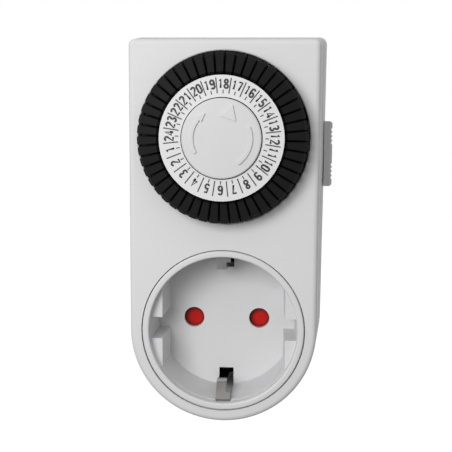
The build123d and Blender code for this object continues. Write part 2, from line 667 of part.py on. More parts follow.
with BuildPart() as shutter_cover:
    with BuildSketch(facing(COVER_BACK)):
        Circle(COVER_R)
        Circle(SHUTTER_STUD_R + RUNNING, mode=Mode.SUBTRACT)
        with Locations((-PIN_X, 0), (PIN_X, 0)):
            Circle(COVER_PIN_HOLE_R, mode=Mode.SUBTRACT)
        with Locations(*SPACER_SPOTS):
            Circle(SPACER_PEG_R + RUNNING, mode=Mode.SUBTRACT)
    extrude(amount=COVER_T)

SPRING_BOTTOM_Z = SPRING_FOOT_Z + LOOSE + SPRING_WIRE_R
SPRING_TOP_Z = -SHUTTER_LOBE_R - LOOSE - SPRING_WIRE_R
SPRING_DEPTH = INSERT_BACK + LOOSE + SHUTTER_T / 2

with BuildPart() as shutter_spring:
    with BuildLine(Plane(origin=(SPRING_X, depth(SPRING_DEPTH), SPRING_BOTTOM_Z))):
        coil = Helix(SPRING_PITCH, SPRING_TOP_Z - SPRING_BOTTOM_Z, SPRING_R)
    with BuildSketch(Plane(origin=coil @ 0, z_dir=coil % 0)):
        Circle(SPRING_WIRE_R)
    sweep(path=coil, is_frenet=True)

# ---- Earth contacts ----
SOCKET_EARTH_BACK = SOCKET_EARTH_FRONT + EARTH_T
SOCKET_EARTH_MID_X = SOCKET_EARTH_LEFT + SOCKET_EARTH_WIDTH / 2
PLUG_EARTH_BACK = SOCKET_EARTH_BACK + EARTH_T

with BuildPart() as socket_earth_bow:
    for side in (-1, 1):
        with BuildSketch(Plane.YZ.offset(SOCKET_EARTH_LEFT)):
            with BuildLine():
                Polyline(
                    (depth(SOCKET_EARTH_BACK - EARTH_T / 2), 0),
                    (depth(SOCKET_EARTH_BACK - EARTH_T / 2), side * SOCKET_ARM_Z),
                    (depth(CLIP_BEND_DEPTH), side * SOCKET_ARM_Z),
                    (depth(CLIP_BULGE_BACK), side * CLIP_BULGE_Z),
                    (depth(CLIP_BULGE_FRONT), side * CLIP_BULGE_Z),
                    (depth(CLIP_END_DEPTH), side * CLIP_END_Z),
                )
            trace(line_width=EARTH_T)
        extrude(amount=SOCKET_EARTH_WIDTH)
        # wide plate at the clip's free end
        plate_depth = CLIP_BULGE_FRONT + CLIP_PLATE_START * (CLIP_END_DEPTH - CLIP_BULGE_FRONT)
        plate_z = CLIP_BULGE_Z + CLIP_PLATE_START * (CLIP_END_Z - CLIP_BULGE_Z)
        with BuildSketch(Plane.YZ.offset(-CLIP_PLATE_WIDTH / 2)):
            with BuildLine():
                Line((depth(plate_depth), side * plate_z), (depth(CLIP_END_DEPTH), side * CLIP_END_Z))
            trace(line_width=EARTH_T)
        extrude(amount=CLIP_PLATE_WIDTH)
        # knurl where the plug's earth strip slides over the clip
        clip_face = side * (CLIP_BULGE_Z - EARTH_T / 2)
        groove_floor = side * (CLIP_BULGE_Z - EARTH_T / 2 + CLIP_GROOVE_DEPTH)
        groove_pitch = SOCKET_EARTH_WIDTH / CLIP_GROOVE_COUNT
        for number in range(CLIP_GROOVE_COUNT):
            groove_x = SOCKET_EARTH_LEFT + (number + 0.5) * groove_pitch
            block(groove_x - CLIP_GROOVE_WIDTH / 2, groove_x + CLIP_GROOVE_WIDTH / 2,
                  min(clip_face, groove_floor), max(clip_face, groove_floor),
                  CLIP_BULGE_BACK - CLIP_GROOVE_LENGTH, CLIP_BULGE_BACK, Mode.SUBTRACT)
    slug(EYELET_R, SOCKET_EARTH_BACK, PLUG_EARTH_BACK + EARTH_T / 2, (SOCKET_EARTH_MID_X, 0))

with BuildPart() as plug_earth_bow:
    for side in (-1, 1):
        with BuildSketch(Plane.YZ.offset(-PLUG_ARM_WIDTH / 2)):
            with BuildLine():
                Polyline(
                    (depth(PLUG_EARTH_BACK - EARTH_T / 2), 0),
                    (depth(PLUG_EARTH_BACK - EARTH_T / 2), side * PLUG_ARM_Z),
                    (depth(PLUG_ARM_END), side * PLUG_ARM_Z),
                )
            trace(line_width=EARTH_T)
        extrude(amount=PLUG_ARM_WIDTH)
    slug(EYELET_R + RUNNING, SOCKET_EARTH_BACK, PLUG_EARTH_BACK, (SOCKET_EARTH_MID_X, 0), Mode.SUBTRACT)


# ---- Pins, contact sleeves and strips ----
def plug_pin(side, stub_front):
    """Round pin with a shank through the plug face, a flange behind it and a stub towards the contacts."""
    spot = (side * PIN_X, 0)
    with BuildPart() as pin:
        slug(PIN_R, PLUG_FACE, PLUG_FACE + PIN_LENGTH, spot)
        fillet(pin.faces().sort_by(Axis.Y)[-1].edges(), PIN_R - LOOSE)
        slug(PIN_SHANK_R, PLUG_WALL_FRONT, PLUG_FACE, spot)
        slug(PIN_FLANGE_R, FLANGE_FRONT, PLUG_WALL_FRONT, spot)
        slug(PIN_STUB_R, stub_front, FLANGE_FRONT, spot)
    return pin


def contact_sleeve(side, base_front):
    """Slit spring sleeve with a closed base."""
    spot = (side * PIN_X, 0)
    with BuildPart() as sleeve:
        slug(SLEEVE_R, SLEEVE_FRONT, base_front + CONTACT_T, spot)
        slug(PIN_R + RUNNING, SLEEVE_FRONT, base_front, spot, Mode.SUBTRACT)
        block(spot[0] - SLEEVE_SLIT / 2, spot[0] + SLEEVE_SLIT / 2, -SLEEVE_R, SLEEVE_R,
              SLEEVE_FRONT, SLEEVE_FRONT + SLEEVE_SLIT_LENGTH, Mode.SUBTRACT)
    return sleeve


NEUTRAL_BASE_BACK = NEUTRAL_BASE + CONTACT_T
LIVE_BASE_BACK = LIVE_BASE + CONTACT_T
neutral_pin = plug_pin(-1, NEUTRAL_BASE_BACK)
live_pin = plug_pin(1, FLANGE_FRONT - LIVE_STUB_LENGTH)
live_contact = contact_sleeve(1, LIVE_BASE)
HALF_STRIP = STRIP_WIDTH / 2
NEUTRAL_TOP_Z = ROTOR_SPOT[1] - MOTOR_R - NEUTRAL_DROP
LIVE_JOG_Z = DIAL_Z - LIVE_JOG_DROP
SWITCHED_JOG_Z = DIAL_Z - SWITCHED_JOG_DROP
LIVE_TERMINAL_X = CASE_LEFT + LIVE_TERMINAL_INSET
SWITCHED_TERMINAL_X = LIVE_TERMINAL_X + TERMINAL_PITCH
LIVE_TERMINAL_TOP = CASE_BOTTOM + LIVE_TERMINAL_LENGTH
SWITCHED_TERMINAL_TOP = CASE_BOTTOM + SWITCHED_TERMINAL_LENGTH

with BuildPart() as neutral_contact:
    add(contact_sleeve(-1, NEUTRAL_BASE).part)
    block(-PIN_X - HALF_STRIP, -PIN_X + HALF_STRIP, 0, LIVE_SHELF_Z + STRIP_T,
          NEUTRAL_BASE_BACK - STRIP_T, NEUTRAL_BASE_BACK)
    block(-PIN_X - HALF_STRIP, -PIN_X + HALF_STRIP, LIVE_SHELF_Z, LIVE_SHELF_Z + STRIP_T,
          SWITCHED_LAYER, NEUTRAL_BASE_BACK)
    block(-PIN_X - HALF_STRIP, -PIN_X + HALF_STRIP, LIVE_SHELF_Z, NEUTRAL_TOP_Z,
          SWITCHED_LAYER, SWITCHED_LAYER + STRIP_T)

with BuildPart() as live_feed_strip:
    slug(SLEEVE_R, FLANGE_FRONT - STRIP_T, FLANGE_FRONT, (PIN_X, 0))
    slug(PIN_STUB_R + RUNNING, FLANGE_FRONT - STRIP_T, FLANGE_FRONT, (PIN_X, 0), Mode.SUBTRACT)
    block(LIVE_STRIP_X - HALF_STRIP, LIVE_STRIP_X + HALF_STRIP, PIN_STUB_R, LIVE_SHELF_Z + STRIP_T,
          FLANGE_FRONT - STRIP_T, FLANGE_FRONT)
    block(LIVE_STRIP_X - HALF_STRIP, LIVE_STRIP_X + HALF_STRIP, LIVE_SHELF_Z, LIVE_SHELF_Z + STRIP_T,
          LIVE_LAYER, FLANGE_FRONT)
    with BuildSketch(facing(LIVE_LAYER + STRIP_T)):
        with BuildLine():
            Polyline((LIVE_STRIP_X, LIVE_SHELF_Z), (LIVE_STRIP_X, LIVE_JOG_Z),
                     (LIVE_TERMINAL_X, LIVE_JOG_Z), (LIVE_TERMINAL_X, LIVE_TERMINAL_TOP))
        trace(line_width=STRIP_WIDTH)
    extrude(amount=STRIP_T)

with BuildPart() as switched_strip:
    slug(SLEEVE_R, LIVE_BASE_BACK, LIVE_BASE_BACK + STRIP_T, (PIN_X, 0))
    block(SWITCHED_STRIP_X - HALF_STRIP, SWITCHED_STRIP_X + HALF_STRIP, 0, SWITCHED_SHELF_Z + STRIP_T,
          LIVE_BASE_BACK, LIVE_BASE_BACK + STRIP_T)
    block(SWITCHED_STRIP_X - HALF_STRIP, SWITCHED_STRIP_X + HALF_STRIP, SWITCHED_SHELF_Z,
          SWITCHED_SHELF_Z + STRIP_T, SWITCHED_LAYER, LIVE_BASE_BACK + STRIP_T)
    with BuildSketch(facing(SWITCHED_LAYER + STRIP_T)):
        with BuildLine():
            Polyline((SWITCHED_STRIP_X, SWITCHED_SHELF_Z), (SWITCHED_STRIP_X, SWITCHED_JOG_Z),
                     (SWITCHED_TERMINAL_X, SWITCHED_JOG_Z), (SWITCHED_TERMINAL_X, SWITCHED_TERMINAL_TOP))
        trace(line_width=STRIP_WIDTH)
    extrude(amount=STRIP_T)

# ---- Mechanism plates ----
EAR_LEFT = PIVOT_X - EAR_WIDTH / 2
EAR_RIGHT = PIVOT_X + EAR_WIDTH / 2
LEVER_NECK_TOP = LEVER_BOTTOM + LEVER_NECK_WIDTH
EAR_RANGES = [
    (LEVER_BOTTOM - SIDE_GAP - EAR_T, LEVER_BOTTOM - SIDE_GAP),
    (LEVER_NECK_TOP + SIDE_GAP, LEVER_NECK_TOP + SIDE_GAP + EAR_T),
]
LEG_TIP = BUTTON_FRONT - RUNNING


def trunnion_bar(radius, bottom, top, mode=Mode.ADD):
    """Round bar along the lever's pivot axis."""
    with Locations(Plane(origin=(PIVOT_X, depth(PIVOT_DEPTH), bottom))):
        Cylinder(radius, top - bottom, align=(Align.CENTER, Align.CENTER, Align.MIN), mode=mode)


with BuildPart() as mechanism_front_plate:
    block(PLATE_LEFT, PLATE_RIGHT, PLATE_BOTTOM, PLATE_TOP, FRONT_PLATE_FRONT, FRONT_PLATE_BACK)
    # window for the lever, and its two bearing ears
    block(LEVER_LEFT - 2 * WALL_GAP, LEVER_NECK_X + SIDE_GAP, LEVER_BOTTOM - WALL_GAP, PLATE_TOP,
          FRONT_PLATE_FRONT, FRONT_PLATE_BACK, Mode.SUBTRACT)
    for bottom, top in EAR_RANGES:
        block(EAR_LEFT, EAR_RIGHT, bottom, top, EAR_FRONT, FRONT_PLATE_BACK)
        trunnion_bar(TRUNNION_R + RUNNING, bottom, top, Mode.SUBTRACT)
        block(PIVOT_X - EAR_SNAP_WIDTH / 2, PIVOT_X + EAR_SNAP_WIDTH / 2, bottom, top,
              EAR_FRONT, PIVOT_DEPTH, Mode.SUBTRACT)
    # hollow post that carries the dial and takes the cap's stem
    slug(POST_R, CAP_BACK, FRONT_PLATE_FRONT, DIAL_SPOT)
    slug(CAP_STEM_R + ARBOR_FIT, CAP_BACK, CAP_BACK + CAP_STEM_LENGTH + WALL_GAP, DIAL_SPOT, Mode.SUBTRACT)
    for arbor_spot in ARBOR_SPOTS:
        slug(ARBOR_R + ARBOR_FIT, FRONT_PLATE_FRONT, FRONT_PLATE_BACK, arbor_spot, Mode.SUBTRACT)
    slug(CLUTCH_SHAFT_R + RUNNING, FRONT_PLATE_FRONT, FRONT_PLATE_BACK, CLUTCH_SPOT, Mode.SUBTRACT)

with BuildPart() as mechanism_rear_plate:
    block(PLATE_LEFT, PLATE_RIGHT, PLATE_BOTTOM, PLATE_TOP, REAR_PLATE_FRONT, REAR_PLATE_BACK)
    for pillar_spot in PILLAR_SPOTS:
        slug(PILLAR_R, FRONT_PLATE_BACK, REAR_PLATE_BACK, pillar_spot)
    slug(SLIM_PILLAR_R, FRONT_PLATE_BACK, REAR_PLATE_BACK, SLIM_PILLAR_SPOT)
    # low ring that centres the motor
    with BuildSketch(facing(REAR_PLATE_BACK + MOTOR_SEAT_DEPTH, *ROTOR_SPOT)):
        Circle(MOTOR_R + LOOSE + MOTOR_SEAT_T)
        Circle(MOTOR_R + LOOSE, mode=Mode.SUBTRACT)
    extrude(amount=MOTOR_SEAT_DEPTH)
    for arbor_spot in ARBOR_SPOTS + [CLUTCH_SPOT]:
        slug(ARBOR_R + ARBOR_FIT, REAR_PLATE_FRONT, REAR_PLATE_BACK, arbor_spot, Mode.SUBTRACT)
    slug(ROTOR_HOLE_R, REAR_PLATE_FRONT, REAR_PLATE_BACK, ROTOR_SPOT, Mode.SUBTRACT)
    block(LEG_X - LEG_WIDTH / 2 - 2 * WALL_GAP, LEG_X + LEG_WIDTH / 2 + LEG_WIDTH,
          BUTTON_Z - BUTTON_HEAD_R - LOOSE, BUTTON_Z + BUTTON_HEAD_R + LOOSE,
          REAR_PLATE_FRONT, REAR_PLATE_BACK, Mode.SUBTRACT)

with BuildPart() as gear_arbors:
    for arbor_spot in ARBOR_SPOTS:
        slug(ARBOR_R, FRONT_PLATE_FRONT + LOOSE, REAR_PLATE_BACK - LOOSE, arbor_spot)
    slug(ARBOR_R, DIAL_GEAR_FRONT, REAR_PLATE_BACK - LOOSE, CLUTCH_SPOT)


# ---- Gear train ----
def compound_wheel(number, spot, pinion_teeth, pinion_phase):
    """Wheel with its pinion in front, on hubs that reach both plates."""
    front = layer(number)
    pinion_front = front - LAYER_PITCH - PINION_REACH
    with BuildPart() as wheel:
        with BuildSketch(facing(front + WHEEL_T, *spot)):
            add(gear_outline(WHEEL_TEETH, 0))
        extrude(amount=WHEEL_T)
        with BuildSketch(facing(front, *spot)):
            add(gear_outline(pinion_teeth, pinion_phase))
        extrude(amount=front - pinion_front)
        slug(GEAR_HUB_R, FRONT_PLATE_BACK + WHEEL_PLAY, REAR_PLATE_FRONT - WHEEL_PLAY, spot)
        slug(ARBOR_R + ARBOR_FIT, FRONT_PLATE_BACK, REAR_PLATE_FRONT, spot, Mode.SUBTRACT)
    return wheel


wheel_1 = compound_wheel(1, WHEEL_1_SPOT, FAST_PINION_TEETH, PINION_1_PHASE)
wheel_2 = compound_wheel(2, WHEEL_2_SPOT, FAST_PINION_TEETH, PINION_2_PHASE)
wheel_3 = compound_wheel(3, WHEEL_3_SPOT, SLOW_PINION_TEETH, PINION_3_PHASE)
wheel_4 = compound_wheel(4, WHEEL_4_SPOT, SLOW_PINION_TEETH, PINION_4_PHASE)
CLUTCH_FRONT = layer(5)
CLUTCH_BACK = CLUTCH_FRONT + WHEEL_T

with BuildPart() as clutch_wheel:
    with BuildSketch(facing(CLUTCH_BACK, *CLUTCH_SPOT)):
        add(gear_outline(CLUTCH_TEETH, 0))
        Circle(CLUTCH_SHAFT_R + RUNNING, mode=Mode.SUBTRACT)
    extrude(amount=WHEEL_T)

with BuildPart() as clutch_pinion:
    with BuildSketch(facing(DIAL_GEAR_BACK, *CLUTCH_SPOT)):
        add(gear_outline(SLOW_PINION_TEETH, CLUTCH_PINION_PHASE))
    extrude(amount=DIAL_GEAR_T)
    # shaft, friction spring in front of the clutch wheel, and collar behind it
    slug(CLUTCH_SHAFT_R, DIAL_GEAR_BACK, CLUTCH_BACK + WHEEL_PLAY, CLUTCH_SPOT)
    slug(CLUTCH_SPRING_R, FRONT_PLATE_BACK + LOOSE, CLUTCH_FRONT - RUNNING, CLUTCH_SPOT)
    slug(CLUTCH_COLLAR_R, CLUTCH_BACK + RUNNING, CLUTCH_BACK + WHEEL_PLAY, CLUTCH_SPOT)
    slug(ARBOR_R + ARBOR_FIT, DIAL_GEAR_FRONT, CLUTCH_BACK + WHEEL_PLAY, CLUTCH_SPOT, Mode.SUBTRACT)

# ---- Motor ----
CUP_FRONT = MOTOR_FRONT + MOTOR_WALL
CUP_FLOOR = MOTOR_BACK - MOTOR_WALL


def claws(root, tip, turn):
    """Ring of pole claws that stand on a face of the motor."""
    with BuildSketch(facing(max(root, tip), *ROTOR_SPOT)) as feet:
        with PolarLocations(CLAW_R, CLAW_COUNT, start_angle=turn):
            Rectangle(CLAW_T, CLAW_WIDTH)
    extrude(feet.sketch, amount=abs(tip - root))


with BuildPart() as motor_claw_plate:
    slug(MOTOR_R, MOTOR_FRONT, CUP_FRONT, ROTOR_SPOT)
    claws(CUP_FRONT, CUP_FLOOR - CLAW_CLEAR, 0)
    slug(ROTOR_SHAFT_R + RUNNING, MOTOR_FRONT, CUP_FRONT, ROTOR_SPOT, Mode.SUBTRACT)

with BuildPart() as motor_cup:
    slug(MOTOR_R, CUP_FRONT, MOTOR_BACK, ROTOR_SPOT)
    slug(MOTOR_R - MOTOR_WALL, CUP_FRONT, CUP_FLOOR, ROTOR_SPOT, Mode.SUBTRACT)
    claws(CUP_FLOOR, CUP_FRONT + CLAW_CLEAR, 180 / CLAW_COUNT)
    slug(ROTOR_SHAFT_R + RUNNING, CUP_FLOOR, MOTOR_BACK, ROTOR_SPOT, Mode.SUBTRACT)

with BuildPart() as motor_coil:
    with BuildSketch(facing(CUP_FLOOR - SIDE_GAP, *ROTOR_SPOT)):
        Circle(MOTOR_R - MOTOR_WALL - SIDE_GAP)
        Circle(COIL_INNER_R, mode=Mode.SUBTRACT)
    extrude(amount=CUP_FLOOR - CUP_FRONT - 2 * SIDE_GAP)
    with BuildSketch(facing(CUP_FLOOR - SIDE_GAP - COIL_CHEEK, *ROTOR_SPOT)):
        Circle(MOTOR_R)
        Circle(MOTOR_R - MOTOR_WALL - SIDE_GAP - COIL_GROOVE, mode=Mode.SUBTRACT)
    extrude(amount=CUP_FLOOR - CUP_FRONT - 2 * (SIDE_GAP + COIL_CHEEK), mode=Mode.SUBTRACT)

with BuildPart() as rotor:
    slug(MAGNET_R, CUP_FRONT + 2 * WALL_GAP, CUP_FLOOR - 2 * WALL_GAP, ROTOR_SPOT)
    slug(ROTOR_SHAFT_R, REAR_PLATE_FRONT - WALL_GAP, MOTOR_BACK - LOOSE, ROTOR_SPOT)
    with BuildSketch(facing(REAR_PLATE_FRONT - SIDE_GAP, *ROTOR_SPOT)):
        add(gear_outline(ROTOR_TEETH, ROTOR_PHASE))
    extrude(amount=REAR_PLATE_FRONT - SIDE_GAP - layer(1) + PINION_REACH)

# ---- Dial carrier, number ring and pointer cap ----
SLOT_RADIAL = FOOT_LENGTH + 2 * LOOSE
SLOT_ACROSS = FOOT_WIDTH + 2 * LOOSE

with BuildPart() as dial_carrier:
    slug(DRUM_R, RING_BACK, DIAL_FLANGE_BACK, DIAL_SPOT)
    slug(DRUM_R - DRUM_WALL, RING_BACK, DIAL_FLANGE_FRONT, DIAL_SPOT, Mode.SUBTRACT)
    slug(DIAL_FLANGE_R, DIAL_FLANGE_FRONT, DIAL_FLANGE_BACK, DIAL_SPOT)
    with BuildSketch(facing(DIAL_FLANGE_BACK, *DIAL_SPOT)):
        with PolarLocations(FOOT_MIDDLE_R, TAPPET_COUNT, start_angle=TAPPET_TURN + TAPPET_PITCH / 2):
            Rectangle(SLOT_RADIAL, SLOT_ACROSS)
    extrude(amount=DIAL_FLANGE_T, mode=Mode.SUBTRACT)
    slug(HUB_R, CAP_BACK + SIDE_GAP, FRONT_PLATE_FRONT - LOOSE, DIAL_SPOT)
    with BuildSketch(facing(DIAL_GEAR_BACK, *DIAL_SPOT)):
        add(gear_outline(DIAL_TEETH, DIAL_PHASE))
    extrude(amount=DIAL_GEAR_T)
    slug(POST_R + RUNNING, CAP_BACK, FRONT_PLATE_FRONT, DIAL_SPOT, Mode.SUBTRACT)

with BuildPart() as number_ring:
    with BuildSketch(facing(RING_BACK, *DIAL_SPOT)):
        Circle(DRUM_R)
        Circle(RING_INNER_R, mode=Mode.SUBTRACT)
    extrude(amount=RING_T)
    with BuildSketch(facing(RING_BACK + RING_LIP_LENGTH, *DIAL_SPOT)):
        Circle(DRUM_R - DRUM_WALL - LOOSE)
        Circle(DRUM_R - DRUM_WALL - LOOSE - RING_LIP_T, mode=Mode.SUBTRACT)
    extrude(amount=RING_LIP_LENGTH)

with BuildPart() as pointer_cap:
    slug(CAP_R, CAP_FRONT, CAP_BACK, DIAL_SPOT)
    fillet(pointer_cap.faces().sort_by(Axis.Y)[0].edges(), CAP_EDGE_ROUND)
    slug(CAP_STEM_R, CAP_BACK, CAP_BACK + CAP_STEM_LENGTH, DIAL_SPOT)
    with BuildSketch(facing(CAP_FRONT, *DIAL_SPOT)):
        # time pointer
        with BuildLine():
            pointer_base = polar(POINTER_BASE_R, POINTER_ANGLE)
            Polyline(beside(pointer_base, POINTER_HALF_BASE, POINTER_ANGLE + 90),
                     polar(POINTER_TIP_R, POINTER_ANGLE),
                     beside(pointer_base, POINTER_HALF_BASE, POINTER_ANGLE - 90), close=True)
        make_face()
        # arrow and a second arc, which show the turning direction
        for start, end in ((ARROW_TAIL, ARROW_NECK), (SECOND_ARC_START, SECOND_ARC_END)):
            with BuildLine():
                CenterArc((0, 0), ARROW_R, start, end - start)
            trace(line_width=ARROW_WIDTH)
        with BuildLine():
            Polyline(polar(ARROW_R - ARROW_HEAD_HALF, ARROW_NECK),
                     polar(ARROW_R, ARROW_NECK + ARROW_HEAD_SWEEP),
                     polar(ARROW_R + ARROW_HEAD_HALF, ARROW_NECK), close=True)
        make_face()
    extrude(amount=CAP_RELIEF)


# ---- Tappets ----
def radius_from_dial(point):
    """Distance of a point from the dial's axis."""
    return (point.X ** 2 + (point.Z - DIAL_Z) ** 2) ** 0.5


TAPPET_ARC = TAPPET_PITCH - TAPPET_GAP_ANGLE
HALF_FOOT = FOOT_WIDTH / 2
HOUR_ANGLE = 2 * TAPPET_PITCH
PAIR_MIDDLES = (90 - TAPPET_PITCH / 2, 90 + TAPPET_PITCH / 2)

# two half-hour tappets at the top of the dial
with BuildPart() as top_pair:
    for middle in PAIR_MIDDLES:
        edge_x, edge_z = polar(1, middle + TAPPET_ARC / 2)
        section = Plane(origin=(0, 0, DIAL_Z), x_dir=(edge_x, 0, edge_z), z_dir=(-edge_z, 0, edge_x))
        with BuildSketch(section):
            with BuildLine():
                Polyline(
                    (TAPPET_INNER_R, depth(TAPPET_HEAD_BACK)),
                    (TAPPET_INNER_R, depth(TAPPET_INNER_FRONT)),
                    (TAPPET_CREST_R, depth(TAPPET_CREST_FRONT)),
                    (TAPPET_SHOULDER_R, depth(TAPPET_SHOULDER_FRONT)),
                    (TAPPET_OUTER_R, depth(TAPPET_OUTER_FRONT)),
                    (TAPPET_OUTER_R, depth(TAPPET_HEAD_BACK)),
                    close=True,
                )
            make_face()
        revolve(axis=DIAL_AXIS, revolution_arc=TAPPET_ARC)
    front_sides = top_pair.edges().filter_by(GeomType.LINE)
    chamfer(front_sides.filter_by(lambda edge: edge.center().Y < depth(TAPPET_OUTER_FRONT)), TAPPET_BEVEL)
    upright = top_pair.edges().filter_by(Axis.Y)
    outer = upright.filter_by(lambda edge: radius_from_dial(edge.center()) > TAPPET_SHOULDER_R)
    fillet(outer, TAPPET_CORNER_ROUND)
    # feet that reach through the flange of the dial
    for middle in PAIR_MIDDLES:
        out_x, out_z = polar(1, middle)
        foot = Plane(origin=(FOOT_INNER_R * out_x, 0, DIAL_Z + FOOT_INNER_R * out_z),
                     x_dir=(out_z, 0, -out_x), z_dir=(out_x, 0, out_z))
        with BuildSketch(foot):
            with BuildLine():
                Polyline(
                    (-HALF_FOOT, depth(TAPPET_HEAD_BACK)),
                    (-HALF_FOOT, depth(FOOT_TIP - HALF_FOOT)),
                    (0, depth(FOOT_TIP)),
                    (HALF_FOOT, depth(FOOT_TIP - HALF_FOOT)),
                    (HALF_FOOT, depth(TAPPET_HEAD_BACK)),
                    close=True,
                )
            make_face()
        extrude(amount=FOOT_LENGTH)


def tappet_pair(turn):
    """Two half-hour tappets, turned anticlockwise from the top of the dial."""
    with BuildPart() as pair:
        add(top_pair.part.rotate(DIAL_AXIS, -turn))
    return pair


tappets = {}
for hour in range(1, TAPPET_COUNT // 2 + 1):
    tappets[f"tappets_hour_{hour:02d}"] = tappet_pair((hour - TOP_HOUR) * HOUR_ANGLE + TAPPET_TURN)

# ---- Follower lever ----
LEVER_BACK = LEVER_FRONT + LEVER_T
CAP_BOTTOM = SLIDER_CENTRE_Z - SLIDER_LENGTH / 2
CAP_TOP = SLIDER_CENTRE_Z + SLIDER_LENGTH / 2
INNER_PLATE_RIGHT = wall_x(INNER_PLATE_FRONT, CAP_BOTTOM - SLIDER_TRAVEL) - WALL - LOOSE
WEDGE_RIGHT = INNER_PLATE_RIGHT - SIDE_GAP
NOSE_ANGLE = TAPPET_TURN + NOSE_STEP * TAPPET_PITCH
NOSE_HALF_BASE = (LEVER_FRONT - NOSE_TIP) * sin(radians(NOSE_HALF_ANGLE)) / cos(radians(NOSE_HALF_ANGLE))
NOSE_START = beside(DIAL_SPOT, FOOT_MIDDLE_R - NOSE_LENGTH / 2, NOSE_ANGLE)
nose_x, nose_z = polar(1, NOSE_ANGLE)

with BuildPart() as follower_lever:
    block(LEVER_LEFT, LEVER_NECK_X, LEVER_BOTTOM, LEVER_BOTTOM + LEVER_WIDTH, LEVER_FRONT, LEVER_BACK)
    block(LEVER_NECK_X, EAR_RIGHT, LEVER_BOTTOM, LEVER_NECK_TOP, LEVER_FRONT, LEVER_BACK)
    trunnion_bar(TRUNNION_R, LEVER_BOTTOM - TRUNNION_REACH, LEVER_NECK_TOP + TRUNNION_REACH)
    # nose between the feet of two tappets
    with BuildSketch(Plane(origin=(NOSE_START[0], 0, NOSE_START[1]),
                           x_dir=(nose_z, 0, -nose_x), z_dir=(nose_x, 0, nose_z))):
        with BuildLine():
            Polyline((-NOSE_HALF_BASE, depth(LEVER_FRONT)), (0, depth(NOSE_TIP)),
                     (NOSE_HALF_BASE, depth(LEVER_FRONT)), close=True)
        make_face()
    extrude(amount=NOSE_LENGTH)
    # leg with a rounded tip that presses the microswitch button
    with BuildSketch(Plane.XY.offset(BUTTON_Z - BUTTON_STEM_R)):
        with Locations((LEG_X, depth(LEG_TIP - LEG_WIDTH / 2))):
            Circle(LEG_WIDTH / 2)
        leg_length = LEG_TIP - LEG_WIDTH / 2 - LEVER_BACK
        with Locations((LEG_X, depth(LEVER_BACK + leg_length / 2))):
            Rectangle(LEG_WIDTH, leg_length)
    extrude(amount=2 * BUTTON_STEM_R)
    # tail that the slider's wedge lifts
    block(EAR_RIGHT, WEDGE_RIGHT - TAIL_SETBACK, LEVER_BOTTOM + SIDE_GAP, LEVER_BOTTOM + SIDE_GAP + TAIL_WIDTH,
          TAIL_FRONT, LEVER_BACK)

# ---- Microswitch ----
BLADE_FRONT = LIVE_LAYER + STRIP_T + RUNNING
BLADE_LEFT = CASE_LEFT + BLADE_LEFT_INSET

with BuildPart() as microswitch_case:
    block(CASE_LEFT, CASE_RIGHT, CASE_BOTTOM, CASE_TOP, REAR_PLATE_BACK, CASE_BACK)
    block(CASE_LEFT + CASE_WALL, CASE_RIGHT - CASE_WALL, CASE_BOTTOM + CASE_WALL, CASE_TOP - CASE_WALL,
          REAR_PLATE_BACK + CASE_WALL, CASE_BACK, Mode.SUBTRACT)
    slug(BUTTON_STEM_R + RUNNING, REAR_PLATE_BACK, REAR_PLATE_BACK + CASE_WALL,
         (LEG_X, BUTTON_Z), Mode.SUBTRACT)
    for terminal_x, terminal_layer in ((LIVE_TERMINAL_X, LIVE_LAYER), (SWITCHED_TERMINAL_X, SWITCHED_LAYER)):
        block(terminal_x - HALF_STRIP - LOOSE, terminal_x + HALF_STRIP + LOOSE,
              CASE_BOTTOM, CASE_BOTTOM + CASE_WALL,
              terminal_layer - LOOSE, terminal_layer + STRIP_T + LOOSE, Mode.SUBTRACT)

with BuildPart() as microswitch_button:
    slug(BUTTON_HEAD_R, BUTTON_FRONT, BUTTON_FRONT + BUTTON_HEAD_T, (LEG_X, BUTTON_Z))
    slug(BUTTON_STEM_R, BUTTON_FRONT, BLADE_FRONT - RUNNING, (LEG_X, BUTTON_Z))

with BuildPart() as snap_blade:
    block(BLADE_LEFT, BLADE_LEFT + BLADE_WIDTH, CASE_BOTTOM + BLADE_FOOT_INSET, CASE_TOP - BLADE_TOP_INSET,
          BLADE_FRONT, BLADE_FRONT + BLADE_T)

# ---- Override slider ----
WEDGE_TOP = LEVER_BOTTOM + SIDE_GAP + TAIL_WIDTH + SLIDER_TRAVEL + SIDE_GAP
WEDGE_REST_Z = LEVER_BOTTOM + SIDE_GAP + TAIL_WIDTH


def wedge_depth(z):
    """Depth of the wedge's front at a height, with the slider at rest."""
    return LEVER_BACK + WEDGE_GAP - WEDGE_SLOPE * (z - WEDGE_REST_Z)


